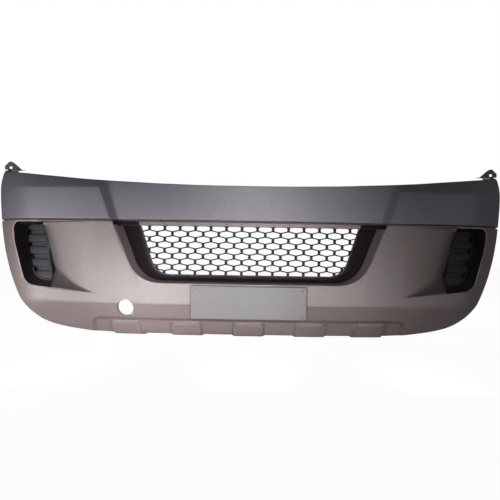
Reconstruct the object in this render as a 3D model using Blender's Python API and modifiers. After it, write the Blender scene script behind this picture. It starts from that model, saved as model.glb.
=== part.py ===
"""Front bumper cover for a light van, in metres, Z up, front facing -Y.

The origin is the middle of the flat tab on the top flange.  The outer skin is
one swept surface: a plan line of three tangent arcs, and a section that blends
from a front profile to a side profile around the corner.  Both mouldings, and
everything seated on them, are read off that surface.
"""
import bmesh
import bpy
from math import cos, degrees, pi, radians, sin, sqrt
from mathutils import Matrix, Vector
from mathutils.bvhtree import BVHTree

# ---- plan line of the skin -------------------------------------------------
FRONT_RADIUS = 3.9          # nearly flat front
FRONT_SWEEP = radians(11)
CORNER_RADIUS = 0.28        # tight corner
CORNER_END = radians(84)
SIDE_RADIUS = 1.2           # nearly straight side
SIDE_END = radians(90)
SEAM_Z = -0.127             # height of the seam between the two mouldings
NOSE_Y = -0.034             # seam point of the skin on the centre line
SKIN_END = 1.231            # half length of the skin along the seam

# ---- walls, clearances -----------------------------------------------------
WALL = 0.003                # moulded wall of band and cover
TRIM_WALL = 0.0025          # wall of the black inserts
SEAT = 0.0003               # clearance between seated pieces
HOLE_PLAY = 0.0003          # clearance around every fastener
SCREW_RADIUS = 0.0024
SMALL_SCREW_RADIUS = 0.0018
SCREW_SIDES = 6
CUT_REACH = 0.2             # cutters run this far along Y from the origin
SIDE_CUT_REACH = 0.3        # and this far where the skin turns the corner
FLANGE_REACH = 0.012        # half length of a hole cutter through a flange
FRONT_REACH = 0.08          # half length of a hole cutter through the front
SLOT_REACH = 0.03
UP = Vector((0, 0, 1))
BACK = Vector((0, 1, 0))

# ---- seam between band and cover -------------------------------------------
GROOVE_TOP = 0.003          # underside of the band
GROOVE_FLOOR = -0.002       # top of the cover's nose
GROOVE_DEPTH = 0.0085       # depth to the cover's riser
BAND_FLANGE = 0.030
COVER_FLANGE = 0.032
SEAM_SCREW_DEPTH = 0.021
SEAM_SCREW_AT = (0.16, 0.56, 0.98)

# ---- band ------------------------------------------------------------------
PANEL_RAISE = 0.011         # wing panels stand proud of the middle band
LIFT_END = 0.22             # depth under the seam where the raise has died out
RAISE_FADE = (0.80, 1.00)
BEVEL_HEIGHT = 0.117
STRIP_INNER = (0.4675, 0.3036)     # strip edge: place on the seam, lean
STRIP_OUTER = (0.491, 0.381)
TOP_FLANGE = 0.024
TOP_TAB = 0.046             # depth of the flange where it widens into a tab
TABS = ((0.0, 0.055), (0.33, 0.035), (0.62, 0.035))
TAB_SLOPE = 0.004
TAB_HOLE = 0.0045
BAND_RIBS = (0.24, 0.44, 0.72)
RIB_WALL = 0.0022
RIB_DEPTH = 0.022

# ---- cover -----------------------------------------------------------------
LIP_DEPTH = 0.028           # undertray lip along the bottom edge
LIP_FADE = 0.66             # past here the lip straightens out towards the wings
LIP_FADE_SPAN = 0.14
CREASE_HEIGHT = -0.291
CHANNEL_TOP = -0.343
CHANNEL_DEPTH = 0.010
CHANNEL_END = 0.553
CHANNEL_END_SLOPE = 0.012
PAD_PLACES = (0.0, 0.217, 0.4215)
PAD_HALF = 0.053
PAD_SLOPE = 0.008
PAD_LEAN = (0.0, 0.001, 0.012)
PAD_DROP = 0.004
SCOOP_START = 0.54
SCOOP_SPAN = 0.21
SCOOP_DEPTH = 0.055
SCOOP_CURVE = 1.6
SCOOP_HOLD = 0.60           # rows under the scoop keep their height up to here
SCOOP_CEILING = -0.0085
RIM_HEIGHT = -0.0068
COVER_TOP = -0.0035

# ---- towing eye hole, on the viewer's left only ------------------------------
TOW_PLACE = (-0.4349, -0.308)
TOW_RADIUS = 0.029
TOW_COLLAR = 0.0365
TOW_COLLAR_DEPTH = 0.016
TOW_KEY = 0.009

# ---- grille ----------------------------------------------------------------
# each ring: top height, half width there, lower corner x and height, corner reach
RECESS = (-0.016, 0.479, 0.395, -0.220, 0.0865)
FUNNEL_END = (-0.0080, 0.4062, 0.346, -0.207, 0.075)
MESH_OPENING = (-0.0125, 0.3926, 0.3344, -0.196, 0.055)
RECESS_SIDE = (0.485, 0.4125)      # side edge as a run: place on the seam, lean
RECESS_PLAY = 0.0012
RING_TOP_SHARES = (0.16, 0.32, 0.48, 0.64, 0.80, 0.974, 1.0)
RING_SIDE_SHARES = (0.15, 0.4, 0.7, 1.0)
GRILLE_FLANGE = 0.013
FLANGE_TOP = -0.0140
GRILLE_SEAT = 0.0017
FUNNEL_DEPTH = 0.042
MESH_BORDER = 0.0075
MESH_BAR_DEPTH = 0.006
CELL_PITCH = 0.0535
ROW_PITCH = 0.0199
CELL_HALF_WIDTH = 0.0236
CELL_HALF_HEIGHT = 0.0113
CELL_SIDE_HALF = 0.0064
MESH_ROWS = 10
TOP_ROW = -0.0105
STAKE_RADIUS = 0.0025
STAKE_LENGTH = 0.011
GRILLE_STAKES = ((0.4775, -0.045), (0.4400, -0.135), (0.2000, -0.2270))

# ---- fog lamp bezel and its louvred blank ------------------------------------
# outer loop lies on the cover, frame loop on the tilted blank plane
FOG_LOOP = (
    (0.7620, -0.0078), (0.8000, -0.0078), (0.8420, -0.0078), (0.8580, -0.0190),
    (0.8630, -0.0400), (0.8573, -0.0847), (0.8470, -0.1180), (0.8363, -0.1512),
    (0.8198, -0.2030), (0.8080, -0.2199), (0.7867, -0.2331), (0.7606, -0.2379),
    (0.7330, -0.2406), (0.7060, -0.2432), (0.7100, -0.1800), (0.7206, -0.1494),
    (0.7267, -0.1090), (0.7410, -0.0563), (0.7510, -0.0300), (0.7575, -0.0135))
FOG_FRAME = (
    (0.7643, -0.0180), (0.7900, -0.0175), (0.8080, -0.0172), (0.8250, -0.0250),
    (0.8346, -0.0422), (0.8280, -0.0840), (0.8212, -0.1220), (0.8085, -0.1602),
    (0.7940, -0.1900), (0.7820, -0.2050), (0.7633, -0.2173), (0.7480, -0.2200),
    (0.7300, -0.2215), (0.7160, -0.2190), (0.7190, -0.1850), (0.7280, -0.1494),
    (0.7345, -0.1090), (0.7480, -0.0563), (0.7560, -0.0320), (0.7620, -0.0215))
FOG_TOP_POINTS = 3
FOG_TIGHT_POINTS = (3, *range(12, 20))    # flange kept short beside the scoop
FOG_SHORT_FLANGE = 0.15
FOG_FLANGE = 0.0160
FOG_PLAY = 0.0006
BEZEL_SEAT = 0.0011           # the flange is flat, the skin behind it is faceted
BEZEL_CORNER = 0.0045         # extra room where the bezel wall meets its ceiling
NEAR_EDGE = 0.0020            # where a flange is read off the skin, beside a cut edge
FRAME_LEDGE = 0.0060
BLANK_OVERLAP = 0.0030
BLANK_PLANE = (0.751, -0.030, 0.108, 0.356, 0.145)   # x, h, y, slope in x, slope in h
SLAT_PITCH = 0.045
SLAT_FACE = 0.027
FIRST_GAP = -0.044          # middle of the highest gap
GAP_COUNT = 4
GAP_DEPTH = 0.013
BLANK_WALL = 0.0022
FOG_STAKE_POINTS = (5, 8, 11)      # points of the outer loop
FOG_STAKE_OUT = 0.0100

# ---- number plate panel ------------------------------------------------------
PLATE_HALF = 0.203
PLATE_TOP = -0.225
PLATE_BOTTOM = -0.342
PLATE_FRONT = -0.0535
PLATE_LEAN = 0.004
PLATE_CORNER = 0.006
PLATE_WALL = 0.003
PLATE_SCREWS = (0.017, 0.012)      # in from the panel's side edge, and from its top or foot
PLATE_RECESS = 0.0029           # screw heads sit below the face that carries the plate
PLATE_RECESS_RADIUS = 0.0044

# ---- wing bracket ------------------------------------------------------------
BRACKET_RUN = (1.057, 1.098)
BRACKET_DEPTH = (0.0085, 0.0225)
BRACKET_WALL = 0.003
# ear and slot: offsets from the skin at the foot's front end and from the top edge there
EAR_OUTLINE = ((-0.0517, 0.0034), (-0.0277, 0.0264), (-0.0192, 0.0344), (-0.0092, 0.0344),
               (0.0003, 0.0239), (0.0073, 0.0189), (0.0073, 0.0034))
EAR_SLOT = (-0.0212, -0.0102, 0.0069, 0.0159)
EAR_READ = 0.005875         # the ear reads the skin this far over the top edge
EAR_WALL = 0.0042
EAR_AHEAD = 0.0012

# section of the skin: inward offset by height over the seam
FRONT_SECTION = ((-0.42, 0.062), (-0.405, 0.050), (-0.346, 0.016), (-0.291, -0.014),
                 (-0.22, -0.012), (-0.10, -0.004), (0.0, 0.002), (0.117, 0.006),
                 (0.15, 0.010), (0.22, 0.016))
SIDE_SECTION = ((-0.42, 0.178), (-0.38, 0.147), (-0.346, 0.123), (-0.291, 0.084),
                (-0.25, 0.058), (-0.22, 0.045), (-0.15, 0.025), (-0.10, 0.0145),
                (0.0, 0.002), (0.06, -0.002), (0.10, -0.004), (0.13, -0.004),
                (0.165, 0.001), (0.19, 0.010), (0.216, 0.028))
SECTION_BLEND = (12.0, 72.0)
TOP_EDGE = ((0.0, 0.127), (0.10, 0.127), (0.28, 0.131), (0.42, 0.137), (0.56, 0.145),
            (0.70, 0.157), (0.85, 0.171), (1.0, 0.187), (1.12, 0.202), (1.231, 0.214))
BOTTOM_EDGE = ((0.0, -0.405), (0.45, -0.405), (0.55, -0.402), (0.62, -0.395),
               (0.70, -0.381), (0.75, -0.363), (0.80, -0.332), (0.85, -0.292),
               (0.90, -0.255), (0.96, -0.215), (1.04, -0.18), (1.12, -0.16),
               (1.231, -0.150))
SCOOP_EDGE = ((0.0, -0.268), (0.4827, -0.2649), (0.5998, -0.2537), (0.6896, -0.2446),
              (0.7626, -0.2379), (0.82, -0.232), (0.85, -0.229))
SCOOP_CREASE = ((0.0, -0.2600), (0.4827, -0.2600), (0.5407, -0.2560), (0.5941, -0.2420),
                (0.6421, -0.2210), (0.6956, -0.1860), (0.73, -0.178), (0.85, -0.178))
SCOOP_OUTER = ((-0.2307, 0.7240), (-0.1929, 0.7260), (-0.1494, 0.7420), (-0.1090, 0.7485),
               (-0.0563, 0.7650), (-0.0300, 0.7790), (-0.0085, 0.7960))


# ---- small helpers -----------------------------------------------------------
def clear_scene():
    for item in list(bpy.data.objects):
        bpy.data.objects.remove(item, do_unlink=True)


def table(rows, value):
    """Straight-line reading of a two-column table."""
    if value <= rows[0][0]:
        return rows[0][1]
    for (a, first), (b, second) in zip(rows, rows[1:]):
        if value <= b:
            return first + (second - first) * (value - a) / (b - a)
    return rows[-1][1]


def ramp(value, low, high):
    return min(max((value - low) / (high - low), 0.0), 1.0)


def smooth(value):
    value = min(max(value, 0.0), 1.0)
    return value * value * (3.0 - 2.0 * value)


def collection(name):
    found = bpy.data.collections.get(name) or bpy.data.collections.new(name)
    if name not in bpy.context.scene.collection.children:
        bpy.context.scene.collection.children.link(found)
    return found


def material(name, colour, roughness, metallic=0.0):
    made = bpy.data.materials.new(name)
    made.use_nodes = True
    shader = made.node_tree.nodes["Principled BSDF"]
    shader.inputs["Base Color"].default_value = (*colour, 1.0)
    shader.inputs["Roughness"].default_value = roughness
    shader.inputs["Metallic"].default_value = metallic
    made.diffuse_color = (*colour, 1.0)
    return made


def body(name, points, faces, finish=None):
    """A mesh object: a piece when it has a finish, a cutter when it has none."""
    mesh = bpy.data.meshes.new(name)
    mesh.from_pydata([tuple(p) for p in points], [], faces)
    mesh.validate()
    mesh.update()
    made = bpy.data.objects.new(name, mesh)
    if finish is None:
        collection("cutters").objects.link(made)
        made.hide_render = True
        made.display_type = "WIRE"
    else:
        collection("bumper_cover").objects.link(made)
        mesh.materials.append(finish)
    return made


def thicken(piece, wall):
    """Adds the wall behind the outer face."""
    step = piece.modifiers.new("wall", "SOLIDIFY")
    step.thickness = wall
    step.offset = -1.0
    step.use_even_offset = True
    step.use_quality_normals = True


def combine(piece, other, how):
    step = piece.modifiers.new(how.lower(), "BOOLEAN")
    step.operation = how
    step.solver = "EXACT"
    step.object = other


# ---- the skin surface --------------------------------------------------------
def plan(run):
    """Plan point and heading of the skin at a run along the seam."""
    x = 0.0
    y = NOSE_Y
    turn = 0.0
    left = abs(run)
    arcs = ((FRONT_RADIUS, FRONT_SWEEP), (CORNER_RADIUS, CORNER_END - FRONT_SWEEP),
            (SIDE_RADIUS, SIDE_END - CORNER_END))
    for radius, sweep in arcs:
        part = min(max(left, 0.0), radius * sweep) / radius
        x += radius * (sin(turn + part) - sin(turn))
        y += radius * (cos(turn) - cos(turn + part))
        turn += part
        left -= radius * sweep
    if left > 0.0:
        y += left
    return x, y, turn


def section_offset(turn, height):
    low, high = SECTION_BLEND
    side = smooth((degrees(turn) - low) / (high - low))
    return table(FRONT_SECTION, height) * (1 - side) + table(SIDE_SECTION, height) * side


def skin(run, height, depth=0.0):
    """Point of the skin, moved inward by depth."""
    hand = -1.0 if run < 0 else 1.0
    x, y, turn = plan(run)
    inward = section_offset(turn, height) + depth
    return Vector((hand * (x - sin(turn) * inward), y + cos(turn) * inward, SEAM_Z + height))


def raise_fade(run):
    low, high = RAISE_FADE
    return 1.0 - smooth((abs(run) - low) / (high - low))


def strip_inner(height):
    return STRIP_INNER[0] + STRIP_INNER[1] * height


def strip_outer(height):
    return STRIP_OUTER[0] + STRIP_OUTER[1] * height


def shell_grid(rows):
    """Quads between rows of points; rows run upward, points run toward +X."""
    width = len(rows[0])
    points = [p for row in rows for p in row]
    faces = []
    for r in range(len(rows) - 1):
        for c in range(width - 1):
            at = r * width + c
            faces.append((at, at + 1, at + width + 1, at + width))
    return points, faces


def mirror(piece):
    """Adds the other half across the middle plane."""
    step = piece.modifiers.new("halves", "MIRROR")
    step.use_axis = (True, False, False)
    step.merge_threshold = 0.0001


# ---- upper band --------------------------------------------------------------
def tab_share(run):
    share = 0.0
    for place, half in TABS:
        share = max(share, 1.0 - ramp(abs(abs(run) - place), half, half + TAB_SLOPE))
    return share


def band_columns():
    runs = [0.0]
    for place, half in TABS:
        for edge in (-half - TAB_SLOPE, -half, half, half + TAB_SLOPE):
            if place + edge > 0:
                runs.append(place + edge)
    runs += [0.30]
    runs += ["inner", "outer"]
    runs += [0.71, 0.765, 0.815, 0.86, 0.905, 0.955, 1.01, 1.07, 1.14, SKIN_END]
    fixed = sorted(v for v in runs if not isinstance(v, str))
    low = [v for v in fixed if v < STRIP_INNER[0]]
    high = [v for v in fixed if v > strip_outer(BEVEL_HEIGHT) + 0.02]
    return low + ["inner", "outer"] + high


def band_run(column, hand, height, share):
    """Run of a column on one row; the strip columns lean and end in a mitre."""
    if column == "inner":
        return hand * strip_inner(height)
    if column == "outer":
        if share <= 0.0:
            return hand * strip_outer(height)
        end = strip_inner(table(TOP_EDGE, 0.51)) + 0.003
        return hand * (strip_outer(BEVEL_HEIGHT) * (1 - share) + end * share)
    return hand * column


def band_raise(column, run, share):
    if column == "inner" or (column != "outer" and abs(run) < STRIP_INNER[0]):
        return 0.0
    return -PANEL_RAISE * raise_fade(run) * (1.0 - share)


def band_rows():
    """Rows of the right half, from the lower flange up over the face to the top flange."""
    plain = [(GROOVE_TOP, BAND_FLANGE), (GROOVE_TOP, 0.007), (GROOVE_TOP + 0.0015, 0.0015),
             (0.060, 0.0), (BEVEL_HEIGHT, 0.0)]
    bevel = [(0.60, 0.0, 0.0), (1.0, -0.0015, 0.0015), (1.0, 0.0, 0.006),
             (1.0, 0.0, None)]
    order = [(c, 1.0) for c in band_columns()]
    rows = []
    for height, depth in plain:
        row = []
        for column, hand in order:
            run = band_run(column, hand, height, 0.0)
            row.append(skin(run, height, depth + band_raise(column, run, 0.0)))
        rows.append(row)
    for share, drop, depth in bevel:
        row = []
        for column, hand in order:
            place = band_run(column, hand, BEVEL_HEIGHT, 0.0)
            height = BEVEL_HEIGHT + (table(TOP_EDGE, abs(place)) - BEVEL_HEIGHT) * share
            run = band_run(column, hand, height, share)
            if share == 1.0:
                height = table(TOP_EDGE, abs(run))
            inward = depth
            if depth is None:
                inward = TOP_FLANGE + (TOP_TAB - TOP_FLANGE) * tab_share(run)
            row.append(skin(run, height + drop, inward + band_raise(column, run, share)))
        rows.append(row)
    return rows


def band_face(run, height):
    """Depth of the band's outer face at one place."""
    strip = ramp(abs(run), strip_inner(height), strip_outer(height))
    return -PANEL_RAISE * raise_fade(run) * strip


def rib(name, run, low, high, front, back):
    """Upright web behind the skin, from one flange to the other."""
    half = RIB_WALL / 2
    points = []
    for side in (-half, half):
        for height, depth in ((low, front), (high, front), (high, back), (low, back)):
            points.append(skin(run + side, height, depth + band_face(run, height)))
    faces = [(0, 1, 2, 3), (7, 6, 5, 4), (0, 4, 5, 1), (1, 5, 6, 2), (2, 6, 7, 3),
             (3, 7, 4, 0)]
    if run < 0:
        faces = [tuple(reversed(f)) for f in faces]
    return outward(body(name, points, faces))


def outward(piece):
    """Turns the faces of a closed body outward."""
    mesh = piece.data
    volume = 0.0
    for face in mesh.polygons:
        corners = [mesh.vertices[i].co for i in face.vertices]
        for b, c in zip(corners[1:], corners[2:]):
            volume += corners[0].dot(b.cross(c))
    if volume < 0:
        mesh.flip_normals()
    return piece


def build_band(finish):
    points, faces = shell_grid(band_rows())
    piece = body("upper_band", points, faces, finish)
    mirror(piece)
    thicken(piece, WALL)
    for place in BAND_RIBS:
        for hand in (-1, 1):
            low = GROOVE_TOP + 0.001
            high = table(TOP_EDGE, place) - 0.001
            web = rib("band_rib", hand * place, low, high, WALL / 2, RIB_DEPTH)
            combine(piece, web, "UNION")
    spots = []
    for place, half in TABS:
        for run in (0.036, -0.036) if place == 0.0 else (place, -place):
            spots.append(skin(run, table(TOP_EDGE, abs(run)), 0.034))
    drill(piece, "tab_holes", spots, TAB_HOLE, UP, FLANGE_REACH)
    drill(piece, "band_seam_holes", seam_screw_places(), SCREW_RADIUS, UP, FLANGE_REACH)
    drill(piece, "band_ear_holes", bracket_screw_places(), SMALL_SCREW_RADIUS, UP, FLANGE_REACH)
    return piece


# ---- lower cover ---------------------------------------------------------------
def pad_share(run, height):
    """One on a raised pad, zero in the channel."""
    down = ramp(-height, 0.346, 0.400)
    share = 0.0
    for place, lean in zip(PAD_PLACES, PAD_LEAN):
        middle = place - lean * down
        away = abs(abs(run) - middle)
        share = max(share, 1.0 - ramp(away, PAD_HALF - PAD_SLOPE, PAD_HALF))
    return share


def cover_bottom(run):
    return table(BOTTOM_EDGE, abs(run)) - PAD_DROP * pad_share(run, -0.40)


def scoop_edge(run):
    run = abs(run)
    limit = SCOOP_EDGE[-1][0]
    if run <= limit:
        return table(SCOOP_EDGE, run)
    share = SCOOP_EDGE[-1][1] / table(BOTTOM_EDGE, limit)
    return share * table(BOTTOM_EDGE, run)


def scoop_crease(run):
    run = abs(run)
    limit = SCOOP_CREASE[-1][0]
    if run <= limit:
        return table(SCOOP_CREASE, run)
    share = SCOOP_CREASE[-1][1] / table(BOTTOM_EDGE, limit)
    return share * table(BOTTOM_EDGE, run)


def scoop_floor(run):
    part = max((abs(run) - SCOOP_START) / SCOOP_SPAN, 0.0)
    return SCOOP_DEPTH * part ** SCOOP_CURVE


def recess_edge(height):
    """Run of the grille recess's side edge at a height."""
    return RECESS_SIDE[0] + RECESS_SIDE[1] * max(height, -0.22)


def cover_raise(run, height):
    edge = recess_edge(height)
    step = ramp(abs(run), edge - 0.0125, edge - 0.0005)
    return -PANEL_RAISE * step * raise_fade(run) * max(0.0, 1.0 + height / LIFT_END)


def lower_row_height(run, level):
    """Rows under the scoop keep their height, then close up with the bottom edge."""
    if abs(run) <= SCOOP_HOLD:
        return level
    top = table(SCOOP_EDGE, SCOOP_HOLD)
    low = table(BOTTOM_EDGE, SCOOP_HOLD)
    share = (level - top) / (low - top)
    here = scoop_edge(run)
    return here + share * (table(BOTTOM_EDGE, abs(run)) - here)


def cover_columns():
    runs = [0.0]
    for number, place in enumerate(PAD_PLACES):
        for edge in (-PAD_HALF, PAD_SLOPE - PAD_HALF, PAD_HALF - PAD_SLOPE, PAD_HALF):
            if place + edge > 0:
                runs.append((place + edge, PAD_LEAN[number]))
    runs += [0.489, 0.52, CHANNEL_END, CHANNEL_END + CHANNEL_END_SLOPE, 0.59,
             0.62, 0.65, 0.68]
    plain = [r for r in runs if not isinstance(r, tuple)]
    listed = [(r, 0.0) for r in plain] + [r for r in runs if isinstance(r, tuple)]
    listed.sort()
    tail = [0.808, 0.835, 0.865, 0.905, 0.955, 1.01, 1.07, 1.14, SKIN_END]
    return listed + [("scoop", -0.030), ("scoop", 0.0), ("wall", 0.004)] + [(r, 0.0) for r in tail]


def cover_run(column, hand, height):
    place, lean = column
    if place in ("scoop", "wall"):
        return hand * (table(SCOOP_OUTER, height) + lean)
    for edge, inset in ((PAD_PLACES[2] + PAD_HALF - PAD_SLOPE, 0.0125),
                        (PAD_PLACES[2] + PAD_HALF, 0.0005)):
        if abs(place - edge) < 0.0001:
            low = ramp(-height, 0.25, 0.33)
            place = (recess_edge(height) - inset) * (1 - low) + place * low
    return hand * (place - lean * ramp(-height, 0.346, 0.400))


def in_scoop(column, run):
    return column[0] != "wall" and abs(run) < 0.79


def cover_rows():
    """Rows of the right half, from the undertray lip up to the rim under the seam."""
    order = [(c, 1.0) for c in cover_columns()]
    kinds = (["lip end", "lip", "edge"] + [-0.380, -0.361, -0.351, CHANNEL_TOP,
             CREASE_HEIGHT] + ["scoop edge", "crease", 0.64, 0.26, "ceiling",
             "rim", "top"])
    rows = []
    for kind in kinds:
        row = []
        for column, hand in order:
            guess = cover_run(column, hand, -0.2 if kind != "ceiling" else -0.01)
            height, run, depth = cover_place(kind, column, hand, guess)
            row.append(skin(run, height, depth + cover_raise(run, height)))
        rows.append(row)
    return rows


def cover_place(kind, column, hand, guess):
    if kind in ("lip end", "lip", "edge"):
        run = cover_run(column, hand, -0.40)
        plain = ramp(abs(run), LIP_FADE, LIP_FADE + LIP_FADE_SPAN)
        rise = {"lip end": 0.0, "lip": 0.0012 * plain, "edge": 0.005 - 0.0026 * plain}[kind]
        height = cover_bottom(run) + rise
        inward = {"lip end": LIP_DEPTH, "lip": 0.004, "edge": 0.0}[kind] * (1.0 - plain)
        return height, run, inward + channel_depth(run, -0.398)
    if kind in ("scoop edge", "crease"):
        height = scoop_edge(guess) if kind == "scoop edge" else scoop_crease(guess)
        run = cover_run(column, hand, height)
        depth = 0.0
        if kind == "crease" and in_scoop(column, run):
            depth = scoop_floor(run)
        return height, run, depth
    if kind in ("ceiling", "rim", "top"):
        height = {"ceiling": SCOOP_CEILING, "rim": RIM_HEIGHT, "top": COVER_TOP}[kind]
        run = cover_run(column, hand, height)
        depth = scoop_floor(run) if kind == "ceiling" and in_scoop(column, run) else 0.0
        return height, run, depth
    if kind > 0:
        height = SCOOP_CEILING + (scoop_crease(guess) - SCOOP_CEILING) * kind
        run = cover_run(column, hand, height)
        depth = scoop_floor(run) if in_scoop(column, run) else 0.0
        return height, run, depth
    run = cover_run(column, hand, kind)
    height = lower_row_height(run, kind)
    return height, run, channel_depth(run, kind)


def channel_depth(run, level):
    """Depth of the channel under the crease, with its raised pads."""
    if level > CHANNEL_TOP - 0.001:
        return 0.0
    inside = 1.0 - ramp(abs(run), CHANNEL_END, CHANNEL_END + CHANNEL_END_SLOPE)
    pad = pad_share(run, level) if level < -0.357 else 0.0
    return CHANNEL_DEPTH * inside * (1.0 - pad)


def seam_flange():
    """Closed strip along the top of the cover: nose, riser and screw flange."""
    profile = ((0.0006, -0.0062), (0.0006, -0.0032), (0.0022, GROOVE_FLOOR),
               (GROOVE_DEPTH, GROOVE_FLOOR), (GROOVE_DEPTH, GROOVE_TOP - SEAT),
               (COVER_FLANGE, GROOVE_TOP - SEAT), (COVER_FLANGE, GROOVE_TOP - SEAT - WALL),
               (GROOVE_DEPTH + WALL, GROOVE_TOP - SEAT - WALL),
               (GROOVE_DEPTH + WALL, -0.0062))
    half = [c for c in cover_columns() if c[0] not in ("wall", "scoop")]
    order = [(c, -1.0) for c in reversed(half[1:])] + [(c, 1.0) for c in half]
    points = []
    for column, hand in order:
        run = cover_run(column, hand, COVER_TOP)
        if abs(run) > SKIN_END - 0.001:
            run = hand * (SKIN_END - 0.0006)
        for depth, height in profile:
            points.append(skin(run, height, depth + cover_raise(run, -0.003)))
    return outward(tube("seam_flange", points, len(profile), len(order)))


def tube(name, points, around, along, finish=None):
    """Closed body from rings of points in a row."""
    faces = []
    for a in range(along - 1):
        for i in range(around):
            j = (i + 1) % around
            faces.append((a * around + i, a * around + j, (a + 1) * around + j,
                          (a + 1) * around + i))
    faces.append(tuple(reversed(range(around))))
    faces.append(tuple((along - 1) * around + i for i in range(around)))
    return body(name, points, faces, finish)


def prism(name, outline, front, back, finish=None):
    """Closed body from an outline in x and height, swept along Y."""
    points = [(x, front, SEAM_Z + h) for x, h in outline]
    points += [(x, back, SEAM_Z + h) for x, h in outline]
    return outward(tube(name, points, len(outline), 2, finish))


def bars(name, rods, sides=12):
    """One object of round bars; each rod is its middle, direction, radius and length."""
    mesh = bmesh.new()
    for middle, along, radius, length in rods:
        turn = along.to_track_quat("Z", "Y").to_matrix().to_4x4()
        bmesh.ops.create_cone(mesh, cap_ends=True, segments=sides, radius1=radius,
                              radius2=radius, depth=length,
                              matrix=Matrix.Translation(middle) @ turn)
    return shape(name, mesh)


def shape(name, mesh, finish=None):
    """Object from a bmesh."""
    made = body(name, [], [], finish)
    bmesh.ops.recalc_face_normals(mesh, faces=mesh.faces)
    mesh.to_mesh(made.data)
    mesh.free()
    return made


def drill(piece, name, places, radius, along, reach):
    """Cuts one round hole at each place."""
    rods = [(at, along, radius + HOLE_PLAY, 2 * reach) for at in places]
    combine(piece, bars(name, rods), "DIFFERENCE")


class Face:
    """The cover's wall as built, read along Y from the front."""

    def __init__(self, piece):
        bpy.context.view_layer.update()
        self.tree = BVHTree.FromObject(piece, bpy.context.evaluated_depsgraph_get())

    def look(self, x, height):
        """Point of the outer face and the direction into the part."""
        start = Vector((x if abs(x) > 0.0002 else 0.0002, -1.0, SEAM_Z + height))
        spot, normal, _, _ = self.tree.ray_cast(start, BACK)
        return spot, normal if normal.y > 0 else -normal

    def behind(self, x, height, distance):
        """Y at a distance square to the wall, from its outer face inward."""
        spot, inward = self.look(x, height)
        if distance >= WALL:
            inner, normal, _, _ = self.tree.ray_cast(spot + BACK * (WALL / 4), BACK)
            return inner.y + (distance - WALL) / max(abs(normal.y), 0.35)
        return spot.y + distance / max(inward.y, 0.35)


def tow_key_outline():
    """Round hole with a small square key at the lower right."""
    cx, cz = TOW_PLACE
    points = []
    for i in range(32):
        angle = 2 * pi * i / 32
        radius = TOW_RADIUS
        if abs(angle - radians(315)) < radians(13):
            radius = TOW_RADIUS + TOW_KEY / 2
        points.append((cx + radius * cos(angle), cz + radius * sin(angle)))
    return points


def tow_collar():
    """Ring behind the hole that follows the skin."""
    cx, cz = TOW_PLACE
    rows = []
    for i in range(9):
        height = cz - 0.044 + 0.011 * i
        rows.append([skin(cx - 0.044 + 0.011 * j, height, 0.0015) for j in range(9)])
    points, faces = shell_grid(rows)
    block = body("tow_block", points, faces)
    thicken(block, TOW_COLLAR_DEPTH)
    ring = [(cx + TOW_COLLAR * cos(2 * pi * i / 32), cz + TOW_COLLAR * sin(2 * pi * i / 32))
            for i in range(32)]
    combine(block, prism("tow_round", ring, -CUT_REACH, CUT_REACH), "INTERSECT")
    return block


def stakes(name, face, places):
    """Round stakes moulded on the back of the cover, square to its wall."""
    rods = []
    for x, height in places:
        spot, inward = face.look(x, height)
        middle = spot + inward * (0.0015 + STAKE_LENGTH / 2)
        rods.append((middle, inward, STAKE_RADIUS, STAKE_LENGTH))
    return bars(name, rods)


def drill_stakes(piece, name, face, places):
    """Clearance holes for the stakes."""
    rods = []
    for x, height in places:
        spot, inward = face.look(x, height)
        rods.append((spot, inward, STAKE_RADIUS + HOLE_PLAY, 0.030))
    combine(piece, bars(name, rods), "DIFFERENCE")


def on_front(places):
    return [Vector((x, 0.0, SEAM_Z + h)) for x, h in places]


def both_hands(places):
    return [(hand * x, h) for x, h in places for hand in (-1, 1)]


def fog_cut_outline():
    """The opening in the skin, let out where the bezel wall passes the end of its ceiling."""
    outline = list(FOG_LOOP)
    for number in (-2, -1, 0):
        x, h = outline[number]
        outline[number] = (x - BEZEL_CORNER, h)
    return outline


def build_cover(finish):
    points, faces = shell_grid(cover_rows())
    piece = body("lower_cover", points, faces, finish)
    mirror(piece)
    thicken(piece, WALL)
    face = Face(piece)
    combine(piece, seam_flange(), "UNION")
    combine(piece, tow_collar(), "UNION")
    combine(piece, prism("recess_cut", ring_outline(RECESS), -CUT_REACH, CUT_REACH), "DIFFERENCE")
    for hand, name in ((-1, "fog_cut_left"), (1, "fog_cut_right")):
        outline = [(hand * x, h) for x, h in fog_cut_outline()]
        combine(piece, prism(name, outline, -CUT_REACH, SIDE_CUT_REACH), "DIFFERENCE")
    combine(piece, prism("tow_cut", tow_key_outline(), -CUT_REACH, CUT_REACH), "DIFFERENCE")
    spots = both_hands(GRILLE_STAKES) + both_hands(fog_stakes())
    combine(piece, stakes("cover_stakes", face, spots), "UNION")
    drill(piece, "cover_seam_holes", seam_screw_places(), SCREW_RADIUS, UP, FLANGE_REACH)
    drill(piece, "cover_plate_holes", on_front(plate_screw_places()), SMALL_SCREW_RADIUS, BACK,
          FRONT_REACH)
    return face


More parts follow.
